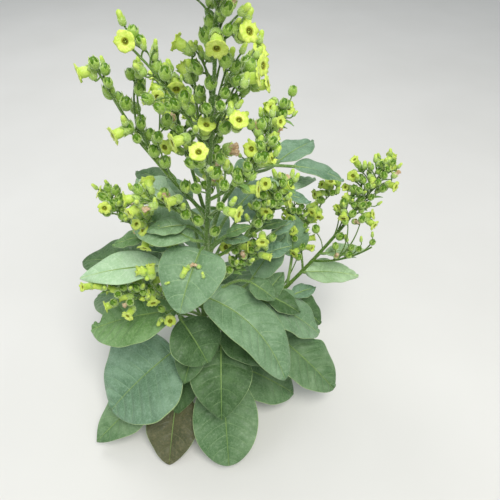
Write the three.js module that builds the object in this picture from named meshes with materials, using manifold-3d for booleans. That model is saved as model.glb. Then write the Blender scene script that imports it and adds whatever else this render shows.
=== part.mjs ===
// Aztec tobacco in flower: one leaning main stem, side stems, large leaf blades and masses of flowers and capsules.
// Millimetres, +Z up, seen from -Y. The origin is the middle of the flat cut under the main stem, at ground level.
// Directions are in degrees: azimuth runs from +X towards +Y, rise is up from the level.
import * as THREE from "three";
import { mergeVertices } from "three/addons/utils/BufferGeometryUtils.js";
import Module from "manifold-3d";

const wasm = await Module();
wasm.setup();

// Driving dimensions of the main stem
const STEM_HEIGHT = 735;
const STEM_LEAN_RIGHT = 74;
const STEM_LEAN_FRONT = 98;
const STEM_BEND = 1.17;
const STEM_TOP_RADIUS = 1.6;
const STEM_SWELL = 6.4;
const STEM_TAPER = 1.6;
const FLARE_RADIUS = 4;
const FLARE_HEIGHT = 22;
const STEM_SIDES = 10;
const STEM_STEPS = 15;
const STEM_RING_CROWDING = 1.6;

// Driving dimensions that the limbs, leaves and masses share
const GAP = 0.3;
const LIMB_SIDES = 6;
const LIMB_STEPS = 6;
const STALK_RADIUS = 2.4;
const STALK_STEPS = 3;
const BLADE_STEPS = 9;
const RIB_THICKNESS = 3.2;
const EDGE_THICKNESS = 1.2;
const TIP_HALF_WIDTH = 1;
const BLADE_FOLD = 8;
const STALK_ARCH = 18;
const STEEPEST_STALK = 78;
const ROLL_RUN_IN = 3;
const MASS_SIDES = 10;
const MASS_ROWS = 6;
const MASS_LUMP = 0.12;
const SOCKET_DEPTH = 4;
const LEAF_ROUGHNESS = 0.6;
const PLAIN_ROUGHNESS = 0.8;

const COLOURS = {
  stem: 0x6f8f45,
  leaf: 0x82a18b,
  paleLeaf: 0xb1cfb0,
  deepLeaf: 0x597651,
  brownLeaf: 0x5b6043,
  flowers: 0xa9c060,
};

// Side stems that carry flowers. "from" is how far up its carrier a stem leaves it. Azimuth and rise run from the
// first value at the foot to the second at the tip. "bare" is the length below the stem's flower mass.
const SIDE_STEMS = [
  { name: "side_stem_right_basal", on: "main_stem", from: 50, azimuth: [15, 26], rise: [34, 60], length: 490,
    bare: 400, radius: [4.9, 1.9], mass: { name: "flower_mass_right_tip", width: 84 } },
  { name: "side_stem_right_basal_left", on: "side_stem_right_basal", from: 262, azimuth: [96, 120], rise: [50, 66],
    length: 122, bare: 46, radius: [2.2, 1.4], mass: { name: "flower_mass_right_left", width: 60 } },
  { name: "side_stem_right_basal_front", on: "side_stem_right_basal", from: 288, azimuth: [-30, 0], rise: [20, 44],
    length: 112, bare: 44, radius: [2.2, 1.4], mass: { name: "flower_mass_right_front", width: 62 } },
  { name: "side_stem_left_basal", on: "main_stem", from: 214, azimuth: [-150, 178], rise: [52, 10], length: 178,
    bare: 90, radius: [2.8, 1.4], mass: { name: "flower_mass_left_basal", width: 62 } },
  { name: "side_stem_low_right", on: "main_stem", from: 252, azimuth: [2, 22], rise: [54, 36], length: 142,
    bare: 72, radius: [2.8, 1.5], mass: { name: "flower_mass_low_right", width: 52 } },
  { name: "side_stem_far_left", on: "main_stem", from: 318, azimuth: [176, 146], rise: [28, 52], length: 192,
    bare: 92, radius: [2.8, 1.4], mass: { name: "flower_mass_far_left", width: 50 } },
  { name: "side_stem_low_left", on: "main_stem", from: 330, azimuth: [-176, 178], rise: [34, 70], length: 128,
    bare: 62, radius: [2.6, 1.4], mass: { name: "flower_mass_low_left", width: 42 } },
  { name: "side_stem_mid_right", on: "main_stem", from: 346, azimuth: [14, 34], rise: [18, 66], length: 170,
    bare: 84, radius: [2.8, 1.4], mass: { name: "flower_mass_mid_right", width: 54 } },
  { name: "side_stem_back", on: "main_stem", from: 370, azimuth: [92, 78], rise: [34, 66], length: 190,
    bare: 86, radius: [2.8, 1.4], mass: { name: "flower_mass_back", width: 56 } },
  { name: "side_stem_mid_left", on: "main_stem", from: 414, azimuth: [-178, -152], rise: [56, 28], length: 112,
    bare: 50, radius: [2.4, 1.4], mass: { name: "flower_mass_mid_left", width: 42 } },
  { name: "side_stem_back_left", on: "main_stem", from: 438, azimuth: [112, 116], rise: [36, 60], length: 180,
    bare: 84, radius: [2.6, 1.4], mass: { name: "flower_mass_back_left", width: 54 } },
  { name: "side_stem_far_right", on: "main_stem", from: 432, azimuth: [58, 34], rise: [14, 58], length: 196,
    bare: 96, radius: [2.6, 1.4], mass: { name: "flower_mass_far_right", width: 54 } },
  { name: "side_stem_high_left", on: "main_stem", from: 448, azimuth: [175, 158], rise: [48, 70], length: 204,
    bare: 74, radius: [2.3, 1.1], mass: { name: "flower_mass_high_left", width: 44 } },
  { name: "side_stem_right", on: "main_stem", from: 474, azimuth: [-24, 32], rise: [38, 48], length: 112,
    bare: 44, radius: [2.4, 1.3], mass: { name: "flower_mass_right", width: 44 } },
  { name: "side_stem_upper_left", on: "main_stem", from: 522, azimuth: [-172, 158], rise: [84, 38], length: 160,
    bare: 70, radius: [2.0, 1.1], mass: { name: "flower_mass_upper_left", width: 40 } },
];

// Masses that the main stem runs up into or through, by the height of their middle
const STEM_MASSES = [
  { name: "flower_mass_top", at: 712, width: 66, length: 112, shift: [4, 2] },
  { name: "flower_mass_upper", at: 606, width: 84, length: 92, shift: [10, 2] },
];

// Large leaves. "from" is how far up its carrier a leaf leaves it. The stalk and the blade each have the azimuth,
// rise and length of their own chord; the stalk sets off STALK_ARCH degrees steeper than its chord and bends over
// into the blade. Droop is how far the blade bends down from base to tip, swing how far it bends to the right, and
// roll tips it over towards its right side. Widest is where along it the blade is broadest, and blunt is near 0.5
// for a round tip and 0.9 for a sharp one.
const LEAVES = [
  { name: "leaf_front_lowest", on: "main_stem", from: 42, stalk: [-58, 29, 90], blade: [-84, -24, 157],
    width: 114, droop: 20, swing: 0, roll: 0, widest: 0.52, blunt: 0.52 },
  { name: "leaf_front_brown", on: "main_stem", from: 24, stalk: [-113, 19, 106], blade: [-94, -25, 124],
    width: 94, droop: 26, swing: 0, roll: 0, widest: 0.44, blunt: 0.72, colour: "brownLeaf" },
  { name: "leaf_front_low", on: "main_stem", from: 96, stalk: [-53, 41, 83], blade: [-88, -24, 120],
    width: 106, droop: 24, swing: 0, roll: 0, widest: 0.4, blunt: 0.82 },
  { name: "leaf_front_middle", on: "main_stem", from: 165, stalk: [-132, 50, 73], blade: [-50, -33, 84],
    width: 88, droop: 30, swing: 0, roll: 0, widest: 0.5, blunt: 0.56, colour: "deepLeaf" },
  { name: "leaf_front_high", on: "main_stem", from: 350, stalk: [-98, 66, 42], blade: [-111, -34, 91],
    width: 94, droop: 34, swing: 0, roll: 0, widest: 0.3, blunt: 0.62 },
  { name: "leaf_left_large", on: "main_stem", from: 82, stalk: [-138, 34, 74], blade: [-143, -24, 152],
    width: 188, droop: 26, swing: 0, roll: 0, widest: 0.43, blunt: 0.6 },
  { name: "leaf_left_lowest", on: "main_stem", from: 30, stalk: [-133, 16, 112], blade: [-139, -16, 145],
    width: 92, droop: 22, swing: 0, roll: 0, widest: 0.42, blunt: 0.8 },
  { name: "leaf_left_notched", on: "main_stem", from: 172, stalk: [-144, 54, 78], blade: [-178, -17, 157],
    width: 108, droop: 26, swing: 0, roll: 10, widest: 0.46, blunt: 0.6 },
  { name: "leaf_left_pale", on: "main_stem", from: 300, stalk: [-168, 37, 71], blade: [-178, -10, 130],
    width: 56, droop: 28, swing: 0, roll: 12, widest: 0.42, blunt: 0.8, colour: "paleLeaf" },
  { name: "leaf_right_long", on: "main_stem", from: 192, stalk: [-64, 76, 68], blade: [-37, -31, 194],
    width: 96, droop: 44, swing: 44, roll: 8, widest: 0.37, blunt: 0.58 },
  { name: "leaf_right_low", on: "main_stem", from: 36, stalk: [-35, 24, 93], blade: [-16, -24, 122],
    width: 106, droop: 24, swing: 0, roll: 0, widest: 0.45, blunt: 0.66 },
  { name: "leaf_right_broad", on: "main_stem", from: 110, stalk: [5, 11, 113], blade: [-35, -24, 176],
    width: 104, droop: 30, swing: 0, roll: 0, widest: 0.5, blunt: 0.62 },
  { name: "leaf_right_inner", on: "main_stem", from: 166, stalk: [3, 30, 112], blade: [-7, -36, 139],
    width: 88, droop: 30, swing: 0, roll: 0, widest: 0.45, blunt: 0.66 },
  { name: "leaf_right_upright", on: "main_stem", from: 216, stalk: [20, 26, 98], blade: [39, 38, 92],
    width: 66, droop: 26, swing: 0, roll: 0, widest: 0.42, blunt: 0.8 },
  { name: "leaf_side_front", on: "side_stem_right_basal", from: 186, stalk: [-20, 26, 22],
    blade: [-28, -26, 84], width: 64, droop: 30, swing: 0, roll: 0, widest: 0.45, blunt: 0.68 },
  { name: "leaf_side_right", on: "side_stem_right_basal", from: 258, stalk: [-30, 20, 8],
    blade: [4, -11, 104], width: 60, droop: 30, swing: 0, roll: 0, widest: 0.36, blunt: 0.8 },
  { name: "leaf_side_tip", on: "side_stem_right_basal", from: 306, stalk: [-20, 20, 10],
    blade: [10, -4, 80], width: 32, droop: 26, swing: 0, roll: 0, widest: 0.4, blunt: 0.86 },
  { name: "leaf_side_inner", on: "side_stem_right_basal", from: 220, stalk: [76, 60, 58], blade: [100, 72, 88],
    width: 58, droop: 30, swing: 0, roll: 0, widest: 0.42, blunt: 0.82 },
  { name: "leaf_left_high", on: "main_stem", from: 392, stalk: [-150, 36, 26], blade: [150, -2, 104],
    width: 74, droop: 26, swing: 0, roll: 10, widest: 0.42, blunt: 0.76 },
  { name: "leaf_left_upper", on: "main_stem", from: 428, stalk: [150, 24, 40], blade: [146, 4, 84],
    width: 58, droop: 26, swing: 0, roll: 0, widest: 0.42, blunt: 0.8 },
  { name: "leaf_left_middle", on: "main_stem", from: 246, stalk: [162, 36, 84], blade: [166, -8, 150],
    width: 96, droop: 30, swing: 0, roll: 0, widest: 0.42, blunt: 0.7 },
  { name: "leaf_left_back", on: "main_stem", from: 110, stalk: [152, 22, 104], blade: [158, -18, 168],
    width: 116, droop: 30, swing: 0, roll: 0, widest: 0.42, blunt: 0.66 },
  { name: "leaf_back_high", on: "main_stem", from: 332, stalk: [58, 28, 114], blade: [32, -5, 147],
    width: 48, droop: 26, swing: 0, roll: 0, widest: 0.42, blunt: 0.82, colour: "paleLeaf" },
  { name: "leaf_back_right", on: "main_stem", from: 300, stalk: [61, 25, 105], blade: [60, 0, 133],
    width: 78, droop: 30, swing: 0, roll: 0, widest: 0.42, blunt: 0.8 },
  { name: "leaf_back_middle", on: "main_stem", from: 222, stalk: [92, 28, 96], blade: [98, -10, 156],
    width: 104, droop: 32, swing: 0, roll: 0, widest: 0.42, blunt: 0.7 },
  { name: "leaf_back_left", on: "main_stem", from: 160, stalk: [124, 24, 100], blade: [128, -14, 160],
    width: 108, droop: 30, swing: 0, roll: 0, widest: 0.42, blunt: 0.66 },
  { name: "leaf_back_low", on: "main_stem", from: 64, stalk: [72, 20, 104], blade: [66, -16, 165],
    width: 108, droop: 24, swing: 0, roll: 0, widest: 0.42, blunt: 0.66 },
];

// Gives the unit vector of an azimuth and a rise.
function direction(azimuth, rise) {
  const turn = THREE.MathUtils.degToRad(azimuth);
  const lift = THREE.MathUtils.degToRad(rise);
  return new THREE.Vector3(Math.cos(lift) * Math.cos(turn), Math.cos(lift) * Math.sin(turn), Math.sin(lift));
}

// Gives the turn that is the second azimuth, counted the short way round from the first.
function shortTurn(first, second) {
  return second - 360 * Math.round((second - first) / 360);
}

// Follows a curve whose azimuth and rise change evenly along it. "spread" places the stations, from 0 to 1.
function walk(start, azimuth, rise, length, steps, spread = (t) => t) {
  const lastAzimuth = shortTurn(azimuth[0], azimuth[1]);
  const headingAt = (t) => [azimuth[0] + (lastAzimuth - azimuth[0]) * t, rise[0] + (rise[1] - rise[0]) * t];
  const point = start.clone();
  const stations = [];
  let passed = 0;
  for (let i = 0; i <= steps; i += 1) {
    const t = spread(i / steps);
    point.addScaledVector(direction(...headingAt((passed + t) / 2)), (t - passed) * length);
    passed = t;
    const [turn, lift] = headingAt(t);
    const ahead = direction(turn, lift);
    const side = direction(turn + 90, 0);
    stations.push({ t, point: point.clone(), ahead, side, up: ahead.clone().cross(side) });
  }
  return stations;
}

// Joins rings of equally many points into one closed body with flat ends.
function skin(rings) {
  const sides = rings[0].length;
  const vertProperties = new Float32Array(rings.flat().flatMap((p) => [p.x, p.y, p.z]));
  const triangles = [];
  for (let row = 0; row + 1 < rings.length; row += 1) {
    for (let i = 0; i < sides; i += 1) {
      const here = row * sides + i;
      const next = row * sides + ((i + 1) % sides);
      triangles.push(here, next, next + sides, here, next + sides, here + sides);
    }
  }
  const last = (rings.length - 1) * sides;
  for (let i = 1; i + 1 < sides; i += 1) {
    triangles.push(0, i + 1, i, last, last + i, last + i + 1);
  }
  return new wasm.Manifold(new wasm.Mesh({ numProp: 3, vertProperties, triVerts: new Uint32Array(triangles) }));
}

// Moves the first and last stations out along the curve, so that a grown body is longer too.
function stretch(stations, grow) {
  const first = stations[0];
  const last = stations[stations.length - 1];
  first.point.addScaledVector(first.ahead, -grow);
  last.point.addScaledVector(last.ahead, grow);
  return stations;
}

// Gives the main stem's axis at a height.
function stemAxis(height) {
  const share = (height / STEM_HEIGHT) ** STEM_BEND;
  return new THREE.Vector3(STEM_LEAN_RIGHT * share, -STEM_LEAN_FRONT * share, height);
}

// Gives the main stem's radius at a height, with the root flare.
function stemRadius(height) {
  const left = Math.max(0, 1 - height / STEM_HEIGHT);
  return STEM_TOP_RADIUS + STEM_SWELL * left ** STEM_TAPER + FLARE_RADIUS * Math.exp(-height / FLARE_HEIGHT);
}

// Makes the main stem, with level rings that are closest together in the root flare.
function mainStem(grow) {
  const rings = [];
  for (let i = 0; i <= STEM_STEPS; i += 1) {
    const height = STEM_HEIGHT * (i / STEM_STEPS) ** STEM_RING_CROWDING;
    const middle = stemAxis(height);
    if (i === 0) {
      middle.z -= grow;
    }
    if (i === STEM_STEPS) {
      middle.z += grow;
    }
    const ring = [];
    for (let k = 0; k < STEM_SIDES; k += 1) {
      ring.push(direction((360 * k) / STEM_SIDES, 0).multiplyScalar(stemRadius(height) + grow).add(middle));
    }
    rings.push(ring);
  }
  return skin(rings);
}

// Makes one tapering limb round its stations.
function limb(stations, radius, grow) {
  const rings = stretch(stations, grow).map(({ t, point, side, up }) => {
    const r = radius[0] + (radius[1] - radius[0]) * t + grow;
    const ring = [];
    for (let k = 0; k < LIMB_SIDES; k += 1) {
      const angle = (2 * Math.PI * k) / LIMB_SIDES;
      ring.push(point.clone().addScaledVector(side, r * Math.cos(angle)).addScaledVector(up, r * Math.sin(angle)));
    }
    return ring;
  });
  return skin(rings);
}

// Follows a leaf stalk from its foot to the blade's base: it sets off steeper than its chord, and arrives along the
// blade.
function walkStalk(foot, [azimuth, rise, length], bladeAzimuth, bladeRise, steps) {
  const base = foot.clone().addScaledVector(direction(azimuth, rise), length);
  const leave = direction(azimuth, Math.min(rise + STALK_ARCH, STEEPEST_STALK)).multiplyScalar(length);
  const arrive = direction(bladeAzimuth, bladeRise).multiplyScalar(length);
  const lastAzimuth = shortTurn(azimuth, bladeAzimuth);
  const stations = [];
  for (let i = 0; i <= steps; i += 1) {
    const t = i / steps;
    const s = 1 - t;
    const point = foot.clone().multiplyScalar((1 + 2 * t) * s * s);
    point.addScaledVector(base, t * t * (3 - 2 * t));
    point.addScaledVector(leave, t * s * s).addScaledVector(arrive, -t * t * s);
    const ahead = base.clone().sub(foot).multiplyScalar(6 * t * s);
    ahead.addScaledVector(leave, s * (1 - 3 * t)).addScaledVector(arrive, t * (3 * t - 2)).normalize();
    const side = direction(azimuth + (lastAzimuth - azimuth) * t + 90, 0);
    stations.push({ t, point, ahead, side, up: ahead.clone().cross(side).normalize() });
  }
  return stations;
}

// Gives a blade's half width at a share of its length.
function halfWidth(t, { width, widest, blunt }) {
  const skew = Math.log(0.5) / Math.log(widest);
  return (width / 2) * Math.max(0, Math.sin(Math.PI * t ** skew)) ** blunt;
}

// Makes one leaf: a stalk that bends over into a thin blade with its halves folded up from the midrib.
function leaf(plan, foot, grow) {
  const [azimuth, rise, length] = plan.blade;
  const bladeAzimuth = [azimuth + plan.swing / 2, azimuth - plan.swing / 2];
  const bladeRise = [rise + plan.droop / 2, rise - plan.droop / 2];
  const stalk = walkStalk(foot, plan.stalk, bladeAzimuth[0], bladeRise[0], STALK_STEPS);
  const spread = (t) => (1 - Math.cos(Math.PI * t)) / 2;
  const blade = walk(stalk[STALK_STEPS].point, bladeAzimuth, bladeRise, length, BLADE_STEPS, spread);
  const sections = stalk.slice(0, -1).map((station) => (
    { ...station, roll: 0, half: STALK_RADIUS, edge: RIB_THICKNESS, lift: 0 }));
  for (const station of blade) {
    const least = station.t < 0.5 ? STALK_RADIUS : TIP_HALF_WIDTH;
    const half = Math.max(least, halfWidth(station.t, plan));
    const open = THREE.MathUtils.clamp((half - STALK_RADIUS) / STALK_RADIUS, 0, 1);
    const edge = THREE.MathUtils.lerp(RIB_THICKNESS, EDGE_THICKNESS, station.t < 0.5 ? open : 1);
    const lift = half * Math.tan(THREE.MathUtils.degToRad(BLADE_FOLD));
    const roll = plan.roll * Math.min(1, ROLL_RUN_IN * station.t);
    sections.push({ ...station, roll, half, edge, lift });
  }
  const rings = stretch(sections, grow).map(({ point, ahead, side, up, roll, half, edge, lift }) => {
    const turn = -THREE.MathUtils.degToRad(roll);
    const across = side.clone().applyAxisAngle(ahead, turn);
    const above = up.clone().applyAxisAngle(ahead, turn);
    const at = (right, height) => point.clone().addScaledVector(across, right).addScaledVector(above, height);
    const reach = half + grow;
    const rib = RIB_THICKNESS / 2 + grow;
    const rim = edge / 2 + grow;
    return [
      at(reach, lift + rim), at(0, rib), at(-reach, lift + rim),
      at(-reach, lift - rim), at(0, -rib), at(reach, lift - rim),
    ];
  });
  return skin(rings);
}

// Makes one uneven closed mass of flowers and capsules, longest along its axis.
function flowerMass(middle, axis, width, length, seed, grow) {
  const sphere = new THREE.SphereGeometry(1, MASS_SIDES, MASS_ROWS);
  sphere.deleteAttribute("normal");
  sphere.deleteAttribute("uv");
  const ball = mergeVertices(sphere);
  const turn = new THREE.Quaternion().setFromUnitVectors(new THREE.Vector3(0, 1, 0), axis);
  const places = ball.getAttribute("position");
  for (let i = 0; i < places.count; i += 1) {
    const spot = new THREE.Vector3().fromBufferAttribute(places, i);
    const wave = Math.sin(3 * spot.x + seed) * Math.cos(4 * spot.y - seed) + Math.sin(5 * spot.z + 2 * seed) / 2;
    const swell = 1 + MASS_LUMP * wave;
    spot.multiply(new THREE.Vector3(width / 2 + grow, length / 2 + grow, width / 2 + grow));
    spot.multiplyScalar(swell).applyQuaternion(turn).add(middle);
    places.setXYZ(i, spot.x, spot.y, spot.z);
  }
  const vertProperties = new Float32Array(places.array);
  const triVerts = new Uint32Array(ball.index.array);
  return new wasm.Manifold(new wasm.Mesh({ numProp: 3, vertProperties, triVerts }));
}

// Every piece with its foot and a function that makes it, grown by a margin on all sides.
const pieces = [];

// The curve of each stem that others leave, by name: it gives the point at a distance up the stem.
const carriers = { main_stem: stemAxis };

function addPiece(name, kind, colour, foot, make) {
  pieces.push({ name, kind, colour, foot, make });
}

addPiece("main_stem", "stem", COLOURS.stem, stemAxis(0), mainStem);

// The side stems, each with the mass at its end
const masses = [];
SIDE_STEMS.forEach((stem, index) => {
  const foot = carriers[stem.on](stem.from);
  const follow = (length, steps) => {
    const share = length / stem.length;
    const endOf = ([first, last]) => first + (shortTurn(first, last) - first) * share;
    return walk(foot, [stem.azimuth[0], endOf(stem.azimuth)], [stem.rise[0], endOf(stem.rise)], length, steps);
  };
  carriers[stem.name] = (distance) => follow(distance, LIMB_STEPS)[LIMB_STEPS].point;
  addPiece(stem.name, "stem", COLOURS.stem, foot, (grow) => limb(follow(stem.bare, LIMB_STEPS), stem.radius, grow));
  const enter = carriers[stem.name](stem.bare - SOCKET_DEPTH);
  const tip = carriers[stem.name](stem.length);
  const middle = enter.clone().add(tip).multiplyScalar(0.5);
  const axis = tip.clone().sub(enter);
  const length = axis.length();
  masses.push({ name: stem.mass.name, foot: middle, make: (grow) => (
    flowerMass(middle, axis.clone().normalize(), stem.mass.width, length, index, grow)) });
});

for (const plan of LEAVES) {
  const foot = carriers[plan.on](plan.from);
  addPiece(plan.name, "leaf", COLOURS[plan.colour ?? "leaf"], foot, (grow) => leaf(plan, foot, grow));
}

STEM_MASSES.forEach((mass, index) => {
  const middle = stemAxis(mass.at).add(new THREE.Vector3(...mass.shift, 0));
  const axis = stemAxis(mass.at + mass.length / 2).sub(stemAxis(mass.at)).normalize();
  const seed = SIDE_STEMS.length + index;
  masses.unshift({ name: mass.name, foot: middle, make: (grow) => (
    flowerMass(middle, axis, mass.width, mass.length, seed, grow)) });
});
for (const mass of masses) {
  addPiece(mass.name, "mass", COLOURS.flowers, mass.foot, mass.make);
}

// Tells whether two bodies' boxes meet.
function boxesMeet(one, other) {
  const a = one.boundingBox();
  const b = other.boundingBox();
  return [0, 1, 2].every((i) => a.min[i] < b.max[i] && b.min[i] < a.max[i]);
}

// Cuts each piece round the ones listed before it, leaving the gap, and keeps its largest part.
// Stems cut stems, stems cut leaves, and everything cuts the masses.
const group = new THREE.Group();
const grown = [];
for (const piece of pieces) {
  let solid = piece.make(0);
  for (const other of grown) {
    const yields = other.kind === "stem" || piece.kind === "mass";
    if (yields && boxesMeet(solid, other.solid)) {
      solid = solid.subtract(other.solid);
    }
  }
  const parts = solid.decompose().sort((a, b) => b.volume() - a.volume());
  grown.push({ kind: piece.kind, solid: piece.make(GAP) });
  const { vertProperties, triVerts } = parts[0].getMesh();
  const geometry = new THREE.BufferGeometry();
  geometry.setAttribute("position", new THREE.BufferAttribute(vertProperties, 3));
  geometry.setIndex(new THREE.BufferAttribute(triVerts, 1));
  geometry.translate(-piece.foot.x, -piece.foot.y, -piece.foot.z);
  geometry.computeVertexNormals();
  const roughness = piece.kind === "leaf" ? LEAF_ROUGHNESS : PLAIN_ROUGHNESS;
  const material = new THREE.MeshStandardMaterial({ color: piece.colour, roughness, metalness: 0 });
  const mesh = new THREE.Mesh(geometry, material);
  mesh.name = piece.name;
  mesh.position.copy(piece.foot);
  group.add(mesh);
}

export default group;
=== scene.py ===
"""Aztec tobacco in flower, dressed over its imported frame.

Each leaf node is replaced by a blade with ribs, veins and a wavy rim, the stem nodes by ridged stems with
hairs, and each mass by cymes: thin twigs that carry flowers, buds and seed capsules. The plans and curves are
the ones that the frame's solids were made from. Places and lengths are in millimetres, and a mesh is turned
into metres where it is made. Directions are in degrees: azimuth runs from +X towards +Y, and rise is up from
the level. The viewer stands at -Y.
"""

import math
import random

import bpy
import numpy as np
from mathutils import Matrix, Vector


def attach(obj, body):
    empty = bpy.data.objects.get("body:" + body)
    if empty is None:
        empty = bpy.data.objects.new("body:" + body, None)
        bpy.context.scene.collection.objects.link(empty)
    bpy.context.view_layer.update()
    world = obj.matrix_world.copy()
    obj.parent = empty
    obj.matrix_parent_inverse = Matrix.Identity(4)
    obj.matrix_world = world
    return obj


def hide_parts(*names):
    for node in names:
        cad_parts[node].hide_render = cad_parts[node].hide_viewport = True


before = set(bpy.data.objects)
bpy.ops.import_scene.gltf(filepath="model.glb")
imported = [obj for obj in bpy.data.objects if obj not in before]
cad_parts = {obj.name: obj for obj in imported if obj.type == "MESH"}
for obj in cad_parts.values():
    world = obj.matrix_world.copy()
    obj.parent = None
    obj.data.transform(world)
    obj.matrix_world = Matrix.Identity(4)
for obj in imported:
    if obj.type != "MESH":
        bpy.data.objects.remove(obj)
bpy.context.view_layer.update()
chance = random.Random(7)

# The frame's driving dimensions, which the solids share
STEM_HEIGHT = 735
STEM_LEAN_RIGHT = 74
STEM_LEAN_FRONT = 98
STEM_BEND = 1.17
STEM_TOP_RADIUS = 1.6
STEM_SWELL = 6.4
STEM_TAPER = 1.6
FLARE_RADIUS = 4
FLARE_HEIGHT = 22
STALK_RADIUS = 2.4
TIP_HALF_WIDTH = 1
BLADE_FOLD = 8
STALK_ARCH = 18
STEEPEST_STALK = 78
ROLL_RUN_IN = 3

# The photograph's camera: its place, its pitch below the level in degrees, and its focal length and the
# picture's side in pixels
CAMERA_PLACE = (95, -470, 800)
CAMERA_PITCH = 45
FOCAL = 430
PICTURE = 500

# Side stems: name, carrier, distance up the carrier, azimuth and rise at the foot and at the tip, length,
# length below the flower mass, radius at both ends, mass and its width
SIDE_STEMS = [
    ("side_stem_right_basal", "main_stem", 50, (15, 26), (34, 60), 490, 400, (4.9, 1.9), "right_tip", 84),
    ("side_stem_right_basal_left", "side_stem_right_basal", 262, (96, 120), (50, 66), 122, 46, (2.2, 1.4),
     "right_left", 60),
    ("side_stem_right_basal_front", "side_stem_right_basal", 288, (-30, 0), (20, 44), 112, 44, (2.2, 1.4),
     "right_front", 62),
    ("side_stem_left_basal", "main_stem", 214, (-150, 178), (52, 10), 178, 90, (2.8, 1.4), "left_basal", 62),
    ("side_stem_low_right", "main_stem", 252, (2, 22), (54, 36), 142, 72, (2.8, 1.5), "low_right", 52),
    ("side_stem_far_left", "main_stem", 318, (176, 146), (28, 52), 192, 92, (2.8, 1.4), "far_left", 50),
    ("side_stem_low_left", "main_stem", 330, (-176, 178), (34, 70), 128, 62, (2.6, 1.4), "low_left", 42),
    ("side_stem_mid_right", "main_stem", 346, (14, 34), (18, 66), 170, 84, (2.8, 1.4), "mid_right", 54),
    ("side_stem_back", "main_stem", 370, (92, 78), (34, 66), 190, 86, (2.8, 1.4), "back", 56),
    ("side_stem_mid_left", "main_stem", 414, (-178, -152), (56, 28), 112, 50, (2.4, 1.4), "mid_left", 42),
    ("side_stem_back_left", "main_stem", 438, (112, 116), (36, 60), 180, 84, (2.6, 1.4), "back_left", 54),
    ("side_stem_far_right", "main_stem", 432, (58, 34), (14, 58), 196, 96, (2.6, 1.4), "far_right", 54),
    ("side_stem_high_left", "main_stem", 448, (175, 158), (48, 70), 204, 74, (2.3, 1.1), "high_left", 44),
    ("side_stem_right", "main_stem", 474, (-24, 32), (38, 48), 112, 44, (2.4, 1.3), "right", 44),
    ("side_stem_upper_left", "main_stem", 522, (-172, 158), (84, 38), 160, 70, (2.0, 1.1), "upper_left", 40),
]

# Masses round the main stem: name, height of the middle, width, length
STEM_MASSES = [("top", 712, 66, 112), ("upper", 606, 84, 92)]

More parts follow.
